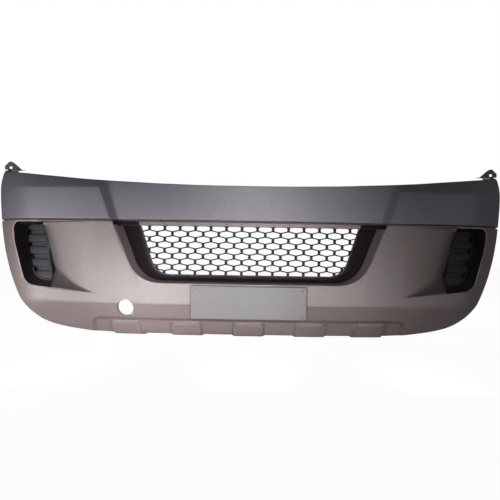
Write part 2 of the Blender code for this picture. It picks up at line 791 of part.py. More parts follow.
# ---- grille surround and mesh ------------------------------------------------------
def ring_outline(ring, grow=0.0):
    """Loop from the top middle, clockwise seen from the front."""
    top, wide, low_x, low, reach = ring
    lean = Vector((wide - low_x, top - low)).normalized()
    slant = grow / lean.y
    top_point = Vector((wide + slant + grow * lean.x / lean.y, top + grow))
    corner = Vector((low_x + slant - grow * lean.x / lean.y, low - grow))
    start = corner + lean * reach
    end = corner - Vector((reach, 0.0))
    right = [Vector((top_point.x * t, top_point.y)) for t in RING_TOP_SHARES]
    right += [top_point.lerp(start, t) for t in RING_SIDE_SHARES]
    for i in range(1, 7):
        t = i / 6
        right.append(start * (1 - t) ** 2 + corner * 2 * t * (1 - t) + end * t * t)
    right += [end.lerp(Vector((0.0, end.y)), i / 6) for i in range(1, 6)]
    loop = [Vector((0.0, top_point.y))] + right
    loop += [Vector((0.0, end.y))] + [Vector((-p.x, p.y)) for p in reversed(right)]
    return [(p.x, p.y) for p in loop]


def front_arc(x):
    """Y of the front arc of the plan line."""
    return NOSE_Y + FRONT_RADIUS - sqrt(FRONT_RADIUS ** 2 - x * x)


def loop_shell(name, loops, finish, wall):
    """Wall through a stack of loops with the same number of points."""
    around = len(loops[0])
    points = [p for loop in loops for p in loop]
    faces = []
    for r in range(len(loops) - 1):
        for i in range(around):
            j = (i + 1) % around
            faces.append((r * around + i, r * around + j, (r + 1) * around + j,
                          (r + 1) * around + i))
    piece = body(name, points, faces, finish)
    last = piece.data.polygons[len(faces) - around // 2]
    if last.normal.y > 0:
        piece.data.flip_normals()
    thicken(piece, wall)
    return piece


def build_surround(face, finish):
    outer = ring_outline(RECESS, GRILLE_FLANGE)
    near = ring_outline(RECESS, 0.0015)
    inner = ring_outline(RECESS, -RECESS_PLAY)
    top = RECESS[0]
    loops = [[], [], [], []]
    for (ox, oh), (nx, nh), (ix, ih) in zip(outer, near, inner):
        oh = min(oh, FLANGE_TOP)
        if ih > top - RECESS_PLAY * 1.01 and abs(ix) < RECESS[1] * 0.99:
            ox = nx = ix
        seat = face.behind(nx, min(nh, top + 0.001), WALL + GRILLE_SEAT)
        out_seat = face.behind(ox, oh, WALL + GRILLE_SEAT)
        loops[0].append(Vector((ox, max(out_seat, seat - 0.02), SEAM_Z + oh)))
        loops[1].append(Vector((ix, seat, SEAM_Z + ih)))
    for x, h in ring_outline(FUNNEL_END):
        loops[2].append(Vector((x, front_arc(x) + FUNNEL_DEPTH, SEAM_Z + h)))
    for x, h in ring_outline(MESH_OPENING):
        loops[3].append(Vector((x, front_arc(x) + FUNNEL_DEPTH, SEAM_Z + h)))
    piece = loop_shell("grille_surround", loops, finish, TRIM_WALL)
    drill_stakes(piece, "surround_holes", face, both_hands(GRILLE_STAKES))
    drill(piece, "ring_holes", on_front(mesh_screw_places()), SMALL_SCREW_RADIUS, BACK, FRONT_REACH)
    return piece


def cell_outline(cx, cz):
    w, a, b = CELL_HALF_WIDTH, CELL_HALF_HEIGHT, CELL_SIDE_HALF
    return [(cx + w, cz + b), (cx, cz + a), (cx - w, cz + b), (cx - w, cz - b),
            (cx, cz - a), (cx + w, cz - b)]


def clip(outline, edge_a, edge_b, inside):
    """Part of a convex outline on the inner side of a line."""
    ax, ay = edge_a
    bx, by = edge_b

    def side(p):
        return ((bx - ax) * (p[1] - ay) - (by - ay) * (p[0] - ax)) * inside

    kept = []
    for p, q in zip(outline, outline[1:] + outline[:1]):
        sp, sq = side(p), side(q)
        if sp >= 0:
            kept.append(p)
        if (sp >= 0) != (sq >= 0):
            t = sp / (sp - sq)
            kept.append((p[0] + (q[0] - p[0]) * t, p[1] + (q[1] - p[1]) * t))
    return kept


def area(outline):
    total = 0.0
    for (ax, ay), (bx, by) in zip(outline, outline[1:] + outline[:1]):
        total += ax * by - bx * ay
    return total / 2


def mesh_cells():
    """Openings of the mesh, cut off at the ring around it."""
    rim = ring_outline(MESH_OPENING, -0.0006)
    cells = []
    for row in range(MESH_ROWS):
        z = TOP_ROW - ROW_PITCH * row
        shift = CELL_PITCH / 2 if row % 2 else 0.0
        for column in range(-8, 9):
            outline = cell_outline(column * CELL_PITCH + shift, z)
            for a, b in zip(rim, rim[1:] + rim[:1]):
                outline = clip(outline, a, b, -1.0)
                if len(outline) < 3:
                    break
            if len(outline) >= 3 and abs(area(outline)) > 0.00009:
                cells.append(outline)
    return cells


def build_mesh_panel(finish):
    """Honeycomb panel: a bent plate with a prism cut out for every cell."""
    outline = ring_outline(MESH_OPENING, MESH_BORDER)
    front = FUNNEL_DEPTH + TRIM_WALL + SEAT * 2
    columns = 9
    points = []
    width = max(x for x, _ in outline) + 0.002
    top = max(h for _, h in outline) + 0.002
    low = min(h for _, h in outline) - 0.002
    for i in range(columns + 1):
        x = -width - 0.001 + (2 * width + 0.003) * i / columns
        y = front_arc(x) + front
        points += [(x, y, SEAM_Z + low), (x, y, SEAM_Z + top),
                   (x, y + MESH_BAR_DEPTH, SEAM_Z + top), (x, y + MESH_BAR_DEPTH, SEAM_Z + low)]
    piece = outward(tube("grille_mesh", points, 4, columns + 1, finish))
    combine(piece, prism("mesh_outline", outline, -CUT_REACH, CUT_REACH), "INTERSECT")
    points = []
    faces = []
    for cell in mesh_cells():
        base = len(points)
        count = len(cell)
        points += [(x, -0.1, SEAM_Z + h) for x, h in cell]
        points += [(x, 0.15, SEAM_Z + h) for x, h in cell]
        for i in range(count):
            j = (i + 1) % count
            faces.append((base + i, base + j, base + count + j, base + count + i))
        faces.append(tuple(base + i for i in reversed(range(count))))
        faces.append(tuple(base + count + i for i in range(count)))
    combine(piece, outward(body("mesh_cells", points, faces)), "DIFFERENCE")
    drill(piece, "mesh_holes", on_front(mesh_screw_places()), SMALL_SCREW_RADIUS, BACK, FRONT_REACH)
    return piece


def mesh_screw_places():
    ring = ring_outline(MESH_OPENING, 0.0045)
    at = [p for p in ring if p[0] > 0.05]
    side = min(at, key=lambda p: abs(p[1] + 0.075))
    low = min((p for p in at if p[1] < -0.19), key=lambda p: abs(p[0] - 0.14))
    return both_hands((side, low))


# ---- fog lamp bezel and blank --------------------------------------------------------
def grown(loop, distance):
    """Loop moved outward by a distance; each point moves along its own corner."""
    turn = 1.0 if area(list(loop)) > 0 else -1.0
    result = []
    count = len(loop)
    for i in range(count):
        a = Vector(loop[i - 1])
        b = Vector(loop[i])
        c = Vector(loop[(i + 1) % count])
        one = (b - a).normalized()
        two = (c - b).normalized()
        n1 = Vector((one.y, -one.x)) * turn
        n2 = Vector((two.y, -two.x)) * turn
        middle = (n1 + n2).normalized()
        result.append(tuple(b + middle * (distance / max(middle.dot(n1), 0.5))))
    return result


def blank_y(x, h):
    px, ph, y, slope_x, slope_h = BLANK_PLANE
    return y + slope_x * (x - px) + slope_h * (h - ph)


def on_back(face, x, h, clear):
    """Point just clear of the back of the cover."""
    return Vector((x, face.behind(x, h, WALL + clear), SEAM_Z + h))


def build_bezel(face, hand, name, finish):
    outer = grown(FOG_LOOP, FOG_FLANGE)
    near = grown(FOG_LOOP, NEAR_EDGE)
    inner = grown(FOG_LOOP, -FOG_PLAY)
    ledge = grown(FOG_FRAME, -FRAME_LEDGE)
    loops = [[], [], [], []]
    for number, (o, n, i) in enumerate(zip(outer, near, inner)):
        if number < FOG_TOP_POINTS:
            rim = face.behind(hand * n[0], -0.005, 0.0)
            under = SEAM_Z + i[1] - TRIM_WALL - FOG_PLAY
            loops[0].append(Vector((hand * i[0], rim + 0.0008, under)))
            loops[1].append(Vector((hand * i[0], rim + 0.005, under - 0.0002)))
            continue
        span = FOG_SHORT_FLANGE if number in FOG_TIGHT_POINTS else 1.0
        o = tuple(Vector(n).lerp(Vector(o), span))
        clear = BEZEL_SEAT * (2.4 if number in FOG_TIGHT_POINTS else 1.0)
        far = on_back(face, hand * o[0], min(o[1], -0.0140), clear)
        seat = on_back(face, hand * n[0], min(n[1], -0.0140), clear)
        stretch = (NEAR_EDGE + FOG_PLAY) / (FOG_FLANGE - NEAR_EDGE) / span
        edge = seat + (seat - far) * stretch
        loops[0].append(far)
        loops[1].append(Vector((hand * i[0], edge.y, SEAM_Z + i[1])))
    for x, h in FOG_FRAME:
        loops[2].append(Vector((hand * x, blank_y(x, h), SEAM_Z + h)))
    for x, h in ledge:
        loops[3].append(Vector((hand * x, blank_y(x, h), SEAM_Z + h)))
    piece = loop_shell(name, loops, finish, TRIM_WALL)
    drill_stakes(piece, name + "_stake_holes", face, [(hand * x, h) for x, h in fog_stakes()])
    return piece


def blank_edges(height):
    """Inner and outer x of the frame opening at a height."""
    hits = []
    loop = grown(FOG_FRAME, -FRAME_LEDGE - 0.002)
    for (ax, ah), (bx, bh) in zip(loop, loop[1:] + loop[:1]):
        if (ah - height) * (bh - height) < 0:
            hits.append(ax + (bx - ax) * (height - ah) / (bh - ah))
    if len(hits) < 2:
        return 0.735, 0.765
    return min(hits), max(hits)


def build_blank(hand, name, finish):
    """Blanking panel with four closed troughs between its slats."""
    gap = SLAT_PITCH - SLAT_FACE
    levels = [(0.01, 0.0)]
    for number in range(GAP_COUNT):
        middle = FIRST_GAP - SLAT_PITCH * number
        levels += [(middle + gap / 2, 0.0), (middle + gap / 2 - 0.003, GAP_DEPTH),
                   (middle - gap / 2 + 0.006, GAP_DEPTH), (middle - gap / 2, 0.0)]
    levels.append((-0.25, 0.0))
    rows = []
    for height, depth in reversed(levels):
        low, high = blank_edges(min(max(height, -0.205), -0.03))
        row = []
        for x, share in ((0.68, 0.0), (low, 0.0), (low + 0.003, 1.0), (high - 0.003, 1.0),
                         (high, 0.0), (0.88, 0.0)):
            y = blank_y(x, height) + TRIM_WALL + SEAT + depth * share
            row.append(Vector((hand * x, y + 0.0003, SEAM_Z + height)))
        rows.append(row if hand > 0 else row[::-1])
    points, faces = shell_grid(rows)
    piece = body(name, points, faces, finish)
    thicken(piece, BLANK_WALL)
    outline = [(hand * x, h) for x, h in grown(FOG_FRAME, BLANK_OVERLAP)]
    combine(piece, prism(name + "_outline", outline, -CUT_REACH, SIDE_CUT_REACH), "INTERSECT")
    return piece


def fog_stakes():
    loop = grown(FOG_LOOP, FOG_STAKE_OUT)
    return [loop[i] for i in FOG_STAKE_POINTS]


# ---- number plate panel ----------------------------------------------------------------
def plate_outline(inset):
    """Rectangle with small rounded corners."""
    right = PLATE_HALF - inset
    top = PLATE_TOP - inset
    low = PLATE_BOTTOM + inset
    radius = max(PLATE_CORNER - inset, 0.001)
    points = []
    for cx, cz, start in ((right - radius, top - radius, 0), (radius - right, top - radius, 90),
                          (radius - right, low + radius, 180), (right - radius, low + radius, 270)):
        for i in range(3):
            angle = radians(start + 45 * i)
            points.append((cx + radius * cos(angle), cz + radius * sin(angle)))
    return points


def plate_y(h):
    return PLATE_FRONT + PLATE_LEAN * (PLATE_TOP - h) / (PLATE_TOP - PLATE_BOTTOM)


def build_plate_panel(face, finish):
    """Tray: flat front, walls down to the cover."""
    rim = plate_outline(0.0)
    longer = []
    for (ax, ah), (bx, bh) in zip(rim, rim[1:] + rim[:1]):
        shares = [0.0]
        if abs(ax - bx) > 0.1:
            shares = [i / 8 for i in range(8)]
        elif abs(ah - bh) > 0.05:
            shares += sorted((level - ah) / (bh - ah) for level in (-0.268, CREASE_HEIGHT, -0.317))
        longer += [(ax + (bx - ax) * t, ah + (bh - ah) * t) for t in shares]
    count = len(longer)
    points = []
    middle = (PLATE_TOP + PLATE_BOTTOM) / 2
    inward = PLATE_WALL * 1.3
    for x, h in longer:
        near = h + inward if h < middle else h - inward
        back = min(face.behind(x, h, 0.0), face.behind(x, near, 0.0))
        points.append((x, back - SEAT * 2, SEAM_Z + h))
    for x, h in longer:
        points.append((x, plate_y(h) + 0.0015, SEAM_Z + h))
    scale_x = (PLATE_HALF - 0.0015) / PLATE_HALF
    for x, h in longer:
        points.append((x * scale_x, plate_y(h), SEAM_Z + middle + (h - middle) * 0.975))
    faces = []
    for r in range(2):
        for i in range(count):
            j = (i + 1) % count
            faces.append((r * count + i, r * count + j, (r + 1) * count + j, (r + 1) * count + i))
    faces.append(tuple(2 * count + i for i in range(count)))
    piece = body("plate_panel", points, faces, finish)
    if piece.data.polygons[-1].normal.y > 0:
        piece.data.flip_normals()
    thicken(piece, PLATE_WALL)
    for x, h in plate_screw_places():
        boss = [(x + 0.006 * cos(2 * pi * i / 12), h + 0.006 * sin(2 * pi * i / 12))
                for i in range(12)]
        back = face.behind(x, h + (0.006 if h < -0.3 else 0.0), 0.0) - SEAT * 2
        back = min(back, face.behind(x, h - 0.006, 0.0) - SEAT * 2)
        combine(piece, prism("plate_boss", boss, plate_y(h) + 0.001, back), "UNION")
        sink = [(x + PLATE_RECESS_RADIUS * cos(2 * pi * i / 12),
                 h + PLATE_RECESS_RADIUS * sin(2 * pi * i / 12)) for i in range(12)]
        floor = plate_y(h) + PLATE_RECESS
        combine(piece, prism("plate_sink", sink, floor - 0.02, floor), "DIFFERENCE")
    drill(piece, "plate_holes", on_front(plate_screw_places()), SMALL_SCREW_RADIUS, BACK, FRONT_REACH)
    return piece


def plate_screw_places():
    from_side, inset = PLATE_SCREWS
    x = PLATE_HALF - from_side
    return [(hand * x, h) for h in (PLATE_TOP - inset, PLATE_BOTTOM + inset) for hand in (-1, 1)]


# ---- wing brackets -------------------------------------------------------------------------
def bracket_screw_places():
    low, high = BRACKET_RUN
    middle = sum(BRACKET_DEPTH) / 2
    places = []
    for hand in (-1, 1):
        for run in (low + 0.010, high - 0.008):
            places.append(skin(hand * run, table(TOP_EDGE, run), middle))
    return places


def build_bracket(hand, name, finish):
    """Foot on the top flange with an upright slotted ear."""
    low, high = BRACKET_RUN
    points = []
    for run in (low, high):
        for depth, lift in ((BRACKET_DEPTH[0], SEAT), (BRACKET_DEPTH[1], SEAT),
                            (BRACKET_DEPTH[1], SEAT + BRACKET_WALL),
                            (BRACKET_DEPTH[0], SEAT + BRACKET_WALL)):
            points.append(skin(hand * run, table(TOP_EDGE, run), depth) + Vector((0, 0, lift)))
    piece = outward(tube(name, points, 4, 2, finish))
    top = table(TOP_EDGE, low)
    at = skin(low, top + EAR_READ, 0.0)
    front = at.y - EAR_AHEAD

    def on_ear(x, h):
        return hand * (at.x + x), top + h

    outline = [on_ear(x, h) for x, h in EAR_OUTLINE]
    combine(piece, prism(name + "_ear", outline, front, front + EAR_WALL), "UNION")
    x0, x1, h0, h1 = EAR_SLOT
    slot = [on_ear(x, h) for x, h in ((x0, h0), (x1, h0), (x1, h1), (x0, h1))]
    combine(piece, prism(name + "_slot", slot, front - SLOT_REACH, front + SLOT_REACH),
            "DIFFERENCE")
    drill(piece, name + "_holes", bracket_screw_places(), SMALL_SCREW_RADIUS, UP, FLANGE_REACH)
    return piece


# ---- fasteners ---------------------------------------------------------------------------------
def lathe(name, profile, at, along, finish):
    """Turned piece: rows of the profile are radius and distance along the axis."""
    points = [(radius, 0.0, -reach) for radius, reach in profile]
    made = body(name, points, [], finish)
    edges = [(i, i + 1) for i in range(len(points) - 1)]
    made.data.clear_geometry()
    made.data.from_pydata(points, edges, [])
    turn = made.modifiers.new("turn", "SCREW")
    turn.steps = SCREW_SIDES
    turn.render_steps = SCREW_SIDES
    turn.use_merge_vertices = True
    turn.merge_threshold = 0.0001
    made.location = at
    made.rotation_mode = "QUATERNION"
    made.rotation_quaternion = (-along).to_track_quat("Z", "Y")
    return made


def screw(name, at, along, radius, length, finish):
    """Pan-head screw: at is the seat under the head, along points to the tip."""
    head = radius * 2.1
    thick = radius * 1.3
    profile = [(0.0, -thick), (head * 0.75, -thick), (head, 0.0), (radius, 0.0),
               (radius, length - radius), (radius * 0.45, length), (0.0, length)]
    return lathe(name, profile, at, along, finish)


def seam_screw_places():
    places = []
    for place in SEAM_SCREW_AT:
        for run in (-place, place):
            inward = SEAM_SCREW_DEPTH + band_face(run, GROOVE_TOP)
            places.append(skin(run, GROOVE_TOP, inward))
    return places


def build_fasteners(face, steel, zinc):
    for number, at in enumerate(seam_screw_places(), 1):
        seat = at + UP * (WALL + SEAT)
        screw(f"seam_screw_{number}", seat, -UP, SCREW_RADIUS, 0.0095, steel)
    for number, at in enumerate(bracket_screw_places(), 1):
        seat = at + UP * (SEAT * 4 + BRACKET_WALL)
        screw(f"bracket_screw_{number}", seat, -UP, SMALL_SCREW_RADIUS, 0.0095, steel)
    for number, (x, h) in enumerate(plate_screw_places(), 1):
        at = Vector((x, plate_y(h) + PLATE_RECESS - SEAT, SEAM_Z + h))
        length = face.behind(x, h, WALL) - at.y + 0.004
        screw(f"plate_screw_{number}", at, BACK, SMALL_SCREW_RADIUS, length, zinc)
    for number, (x, h) in enumerate(mesh_screw_places(), 1):
        rear = front_arc(x) + FUNNEL_DEPTH + TRIM_WALL + SEAT * 3 + MESH_BAR_DEPTH
        at = Vector((x, rear + abs(x) * 0.0006, SEAM_Z + h))
        screw(f"mesh_screw_{number}", at, -BACK, SMALL_SCREW_RADIUS, 0.0085, steel)


def build():
    clear_scene()
    band_grey = material("band_grey_plastic", (0.137, 0.122, 0.125), 0.62)
    cover_grey = material("cover_grey_plastic", (0.137, 0.122, 0.125), 0.62)
    panel_grey = material("panel_grey_plastic", (0.105, 0.108, 0.120), 0.55)
    surround_black = material("surround_black_plastic", (0.020, 0.019, 0.021), 0.48)
    mesh_black = material("mesh_black_plastic", (0.012, 0.012, 0.013), 0.42)
    bezel_black = material("bezel_black_plastic", (0.018, 0.017, 0.019), 0.45)
    louvre_black = material("louvre_black_plastic", (0.026, 0.025, 0.028), 0.50)
    bracket_black = material("bracket_black_plastic", (0.050, 0.046, 0.047), 0.60)
    steel = material("dark_steel", (0.10, 0.10, 0.105), 0.38, 1.0)
    zinc = material("zinc_steel", (0.50, 0.50, 0.49), 0.35, 1.0)
    build_band(band_grey)
    face = build_cover(cover_grey)
    build_surround(face, surround_black)
    build_mesh_panel(mesh_black)
    for hand, side in ((-1, "left"), (1, "right")):
        build_bezel(face, hand, "fog_bezel_" + side, bezel_black)
        build_blank(hand, "fog_blank_" + side, louvre_black)
        build_bracket(hand, "wing_bracket_" + side, bracket_black)
    build_plate_panel(face, panel_grey)
    build_fasteners(face, steel, zinc)


build()
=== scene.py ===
# %% [markdown]
# # Front bumper cover of a light van
# The cover is two grey mouldings, a wide upper band and a deep lower cover, with black
# plastic pieces clipped into the lower one.  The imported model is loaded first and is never
# moved.  Each visible piece is then modelled finely in the same frame, in metres, with
# +X to the viewer's right, +Y towards the vehicle and +Z up.

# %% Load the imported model
from math import cos, radians, sin, sqrt, tau

import bmesh
import bpy
import numpy as np
from mathutils import Matrix, Vector
from mathutils.bvhtree import BVHTree


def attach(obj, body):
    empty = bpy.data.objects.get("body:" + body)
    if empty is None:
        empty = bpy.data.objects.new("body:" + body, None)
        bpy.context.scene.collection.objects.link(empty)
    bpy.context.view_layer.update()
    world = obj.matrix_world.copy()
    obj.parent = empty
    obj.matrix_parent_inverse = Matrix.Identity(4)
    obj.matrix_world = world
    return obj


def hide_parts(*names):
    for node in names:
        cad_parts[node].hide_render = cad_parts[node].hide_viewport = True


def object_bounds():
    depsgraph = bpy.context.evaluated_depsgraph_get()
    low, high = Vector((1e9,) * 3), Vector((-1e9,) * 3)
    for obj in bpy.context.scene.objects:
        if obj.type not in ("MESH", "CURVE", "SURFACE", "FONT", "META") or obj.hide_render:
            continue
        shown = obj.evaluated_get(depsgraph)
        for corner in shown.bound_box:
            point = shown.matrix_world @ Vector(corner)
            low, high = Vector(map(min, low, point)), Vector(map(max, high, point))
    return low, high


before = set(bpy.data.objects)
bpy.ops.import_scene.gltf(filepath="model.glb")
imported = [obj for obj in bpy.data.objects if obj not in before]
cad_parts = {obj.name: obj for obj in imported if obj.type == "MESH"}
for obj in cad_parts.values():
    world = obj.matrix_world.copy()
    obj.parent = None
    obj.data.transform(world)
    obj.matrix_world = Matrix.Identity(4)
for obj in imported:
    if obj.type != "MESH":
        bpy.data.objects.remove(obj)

cad_low, cad_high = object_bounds()
print("packed nodes:", len(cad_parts), "box",
      [round(v, 3) for v in (*cad_low, *cad_high)])

# %% [markdown]
# ## Design tables
# A moulding is one smooth sheet.  It can be drawn as NURBS patches, as a subdivided cage,
# or as a grid of points computed from a few design curves.  The grid is used here, because
# every black insert has to follow the same sheet, and a computed sheet can be asked for its
# place anywhere.  The curves are short tables read with a smooth, never overshooting cubic.

# %% Read a design table with a smooth curve
def read_curve(rows, value):
    """Monotone cubic through the rows (place, amount), for numbers or arrays."""
    x, y = np.array(rows, dtype=float).T
    gap = np.diff(x)
    lean = np.diff(y) / gap
    slope = np.zeros(len(x))
    for i in range(1, len(x) - 1):
        if lean[i - 1] * lean[i] > 0:
            w1 = 2 * gap[i] + gap[i - 1]
            w2 = gap[i] + 2 * gap[i - 1]
            slope[i] = (w1 + w2) / (w1 / lean[i - 1] + w2 / lean[i])
    slope[0], slope[-1] = lean[0], lean[-1]
    value = np.clip(np.asarray(value, dtype=float), x[0], x[-1])
    i = np.clip(np.searchsorted(x, value) - 1, 0, len(x) - 2)
    t = (value - x[i]) / gap[i]
    a = (1 + 2 * t) * (1 - t) ** 2 * y[i] + t * (1 - t) ** 2 * gap[i] * slope[i]
    b = t * t * (3 - 2 * t) * y[i + 1] + t * t * (t - 1) * gap[i] * slope[i + 1]
    return a + b


def ramp(value, low, high):
    return np.clip((np.asarray(value, dtype=float) - low) / (high - low), 0.0, 1.0)


def ease(value):
    value = np.clip(value, 0.0, 1.0)
    return value * value * (3.0 - 2.0 * value)


print("curve test:", read_curve(((0, 0), (1, 1), (2, 1)), 0.5).round(3))

# %% [markdown]
# ## The outer skin
# Seen from above the skin is three tangent arcs: a nearly flat front, a tight corner and a
# nearly straight side.  Its section changes around the corner from an upright front profile,
# which has one crisp crease, to one that tucks under at the side.  `skin` puts the two
# together: a run along the seam, a height over the seam and a depth behind the outer face
# give one point in space.

# %% Plan line, sections and the skin
SEAM_Z = -0.127
NOSE_Y = -0.034
SKIN_END = 1.231
FRONT_RADIUS = 3.9
FRONT_CREASE = -0.291
PLAN_ARCS = ((FRONT_RADIUS, radians(11)), (0.28, radians(73)), (1.2, radians(6)))
LOWER_FRONT = ((-0.42, 0.062), (-0.405, 0.050), (-0.346, 0.016), (FRONT_CREASE, -0.014))
UPPER_FRONT = ((FRONT_CREASE, -0.014), (-0.22, -0.012), (-0.10, -0.004), (0.0, 0.002),
               (0.117, 0.006), (0.15, 0.010), (0.22, 0.016))
SIDE_SECTION = ((-0.42, 0.178), (-0.38, 0.147), (-0.346, 0.123), (-0.291, 0.084),
                (-0.25, 0.058), (-0.22, 0.045), (-0.15, 0.025), (-0.10, 0.0145),
                (0.0, 0.002), (0.06, -0.002), (0.10, -0.004), (0.13, -0.004),
                (0.165, 0.001), (0.19, 0.010), (0.216, 0.028))
TOP_EDGE = ((0.0, 0.127), (0.10, 0.127), (0.28, 0.131), (0.42, 0.137), (0.56, 0.145),
            (0.70, 0.157), (0.85, 0.171), (1.0, 0.187), (1.12, 0.202), (1.231, 0.214))
BOTTOM_EDGE = ((0.0, -0.405), (0.45, -0.405), (0.55, -0.402), (0.62, -0.395),
               (0.70, -0.381), (0.75, -0.363), (0.80, -0.332), (0.85, -0.292),
               (0.90, -0.255), (0.96, -0.215), (1.04, -0.18), (1.12, -0.16),
               (1.231, -0.150))


def plan(run):
    """X, Y and heading of the skin at a run of the right half."""
    left = np.abs(run)
    x = np.zeros_like(left)
    y = np.full_like(left, NOSE_Y)
    turn = np.zeros_like(left)
    for radius, sweep in PLAN_ARCS:
        part = np.clip(left, 0.0, radius * sweep) / radius
        x = x + radius * (np.sin(turn + part) - np.sin(turn))
        y = y + radius * (np.cos(turn) - np.cos(turn + part))
        turn = turn + part
        left = left - radius * sweep
    return x, y + np.maximum(left, 0.0), turn


def skin(run, height, depth=0.0):
    """Points of the skin, moved inward by a depth; run is negative on the left."""
    run = np.asarray(run, dtype=float)
    height = np.asarray(height, dtype=float)
    hand = np.where(run < 0, -1.0, 1.0)
    x, y, turn = plan(run)
    side = ease((np.degrees(turn) - 12.0) / 60.0)
    front = np.where(height < FRONT_CREASE, read_curve(LOWER_FRONT, height),
                     read_curve(UPPER_FRONT, height))
    inward = front * (1 - side) + read_curve(SIDE_SECTION, height) * side + depth
    return np.stack([hand * (x - np.sin(turn) * inward), y + np.cos(turn) * inward,
                     SEAM_Z + height + 0 * run], axis=-1)


def at(x, y, height):
    """Point in space from a height over the seam."""
    return Vector((x, y, SEAM_Z + height))


print("half width of the skin on the seam:", skin(SKIN_END, 0.0)[0].round(4))

# %% [markdown]
# ## A woven grid
# The skin's features, such as the edges of the raised pads or the leaning step beside the
# middle band, have to lie on grid lines, or their edges would be jagged.  So each sheet is
# woven between guide lines.  Extra lines crowd beside every guide, which keeps the edges
# crisp, and a light smoothing of the grid afterwards gives each edge its moulded radius.

# %% Weave points between guide lines
def spread(length, fine, coarse):
    """Shares from 0 to 1 whose steps are fine at both ends and coarse in the middle."""
    if length < fine * 2.5:
        return [0.0]
    steps = [fine]
    while sum(steps) * 2 < length:
        steps.append(min(steps[-1] * 1.6, coarse))
    half = steps[:-1]
    rest = length - 2 * sum(half)
    middle = max(1, int(round(rest / coarse)))
    full = half + [rest / middle] * middle + half[::-1]
    return list(np.cumsum([0.0] + full)[:-1] / length)


def lines_between(places, fine, coarse):
    """Guide numbers and shares of every grid line over a list of guide places."""
    lines = [(i, share) for i in range(len(places) - 1)
             for share in spread(abs(places[i + 1] - places[i]), fine, coarse)]
    numbers, shares = zip(*lines, (len(places) - 2, 1.0))
    return np.array(numbers), np.array(shares)


def soften(field, axis, times):
    """Averages a grid with its neighbours along one axis, but for its ends."""
    field = np.moveaxis(field.copy(), axis, 0)
    for _ in range(times):
        field[1:-1] = 0.25 * field[:-2] + 0.5 * field[1:-1] + 0.25 * field[2:]
    return np.moveaxis(field, 0, axis)


def weave(column_guides, row_guides, column_places, row_places, fine, coarse):
    """Run, height and depth on a grid between guides.

    A column guide is a function height -> run, a row guide a function
    (run, column number) -> (height, depth).
    """
    ci, cf = lines_between(column_places, fine, coarse)
    ri, rf = lines_between(row_places, fine, coarse)
    shape = (len(ri), len(ci))
    run = np.tile(np.interp(ci + cf, range(len(column_places)), column_places), (shape[0], 1))
    height, depth = np.zeros(shape), np.zeros(shape)
    where = np.tile(ci + cf, (shape[0], 1))
    for _ in range(5):
        readings = [guide(run, where) for guide in row_guides]
        for j in range(shape[0]):
            for field, part in ((height, 0), (depth, 1)):
                field[j] = (readings[ri[j]][part][j] * (1 - rf[j])
                            + readings[ri[j] + 1][part][j] * rf[j])
        runs = [guide(height) for guide in column_guides]
        for k in range(shape[1]):
            run[:, k] = runs[ci[k]][:, k] * (1 - cf[k]) + runs[ci[k] + 1][:, k] * cf[k]
    return run, height, depth


print("lines on a 100 mm stretch:", len(spread(0.1, 0.0022, 0.012)))

# %% [markdown]
# ## From points to pieces
# `sheet` makes the quads of a grid, and `settle` turns whatever modifiers a piece carries
# into plain mesh.  Settled pieces sit at the origin, unturned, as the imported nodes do.

# %% Make meshes, settle modifiers, join
def show(name, data):
    made = bpy.data.objects.new(name, data)
    bpy.context.scene.collection.objects.link(made)
    return made


def new_piece(name, points, faces, finish=None):
    mesh = bpy.data.meshes.new(name)
    mesh.from_pydata([tuple(p) for p in points], [], [tuple(f) for f in faces])
    mesh.validate()
    mesh.update()
    if finish is not None:
        mesh.materials.append(finish)
    return show(name, mesh)


def grid_faces(rows, columns, around=False):
    """Quads of a grid stored row by row; around closes each row on itself."""
    spots = np.arange(rows * columns).reshape(rows, columns)
    if around:
        spots = np.hstack([spots, spots[:, :1]])
    quads = np.stack([spots[:-1, :-1], spots[:-1, 1:], spots[1:, 1:], spots[1:, :-1]], axis=-1)
    return quads.reshape(-1, 4)


def both_halves(right):
    """Grid of the right half and its mirror image as one grid, left to right."""
    left = right[:, :0:-1].copy()
    left[..., 0] *= -1.0
    middle = right.copy()
    middle[:, 0, 0] = 0.0
    return np.concatenate([left, middle], axis=1)


def sheet(name, grid, finish, around=False):
    """Open sheet from a grid whose rows run upward and columns towards +X, or around."""
    return new_piece(name, grid.reshape(-1, 3), grid_faces(*grid.shape[:2], around), finish)


def settle(piece):
    """Applies the modifiers and keeps the result as a plain mesh."""
    bpy.context.view_layer.update()
    graph = bpy.context.evaluated_depsgraph_get()
    result = bpy.data.meshes.new_from_object(piece.evaluated_get(graph))
    result.transform(piece.matrix_world)
    old = piece.data
    piece.modifiers.clear()
    piece.data = result
    piece.matrix_world = Matrix()
    result.name = piece.name
    bpy.data.meshes.remove(old)
    return piece


def solidify(piece, wall, even=True, offset=-1.0):
    step = piece.modifiers.new("wall", "SOLIDIFY")
    step.thickness = wall
    step.offset = offset
    step.use_even_offset = even
    step.use_quality_normals = True
    return settle(piece)


def cut(piece, cutter, how="DIFFERENCE", itself=False):
    """Boolean with a helper object that is then removed."""
    step = piece.modifiers.new("cut", "BOOLEAN")
    step.operation = how
    step.solver = "EXACT"
    step.use_self = itself
    step.object = cutter
    settle(piece)
    bpy.data.objects.remove(cutter, do_unlink=True)
    return piece


def join(name, pieces):
    """One object out of several plain meshes, keeping their materials."""
    mesh = bpy.data.meshes.new(name)
    build = bmesh.new()
    finishes = []
    for piece in pieces:
        first = len(build.faces)
        build.from_mesh(piece.data)
        build.faces.ensure_lookup_table()
        for face in build.faces[first:]:
            own = piece.data.materials[face.material_index]
            if own not in finishes:
                finishes.append(own)
            face.material_index = finishes.index(own)
        bpy.data.objects.remove(piece, do_unlink=True)
    build.to_mesh(mesh)
    build.free()
    for own in finishes:
        mesh.materials.append(own)
    return show(name, mesh)


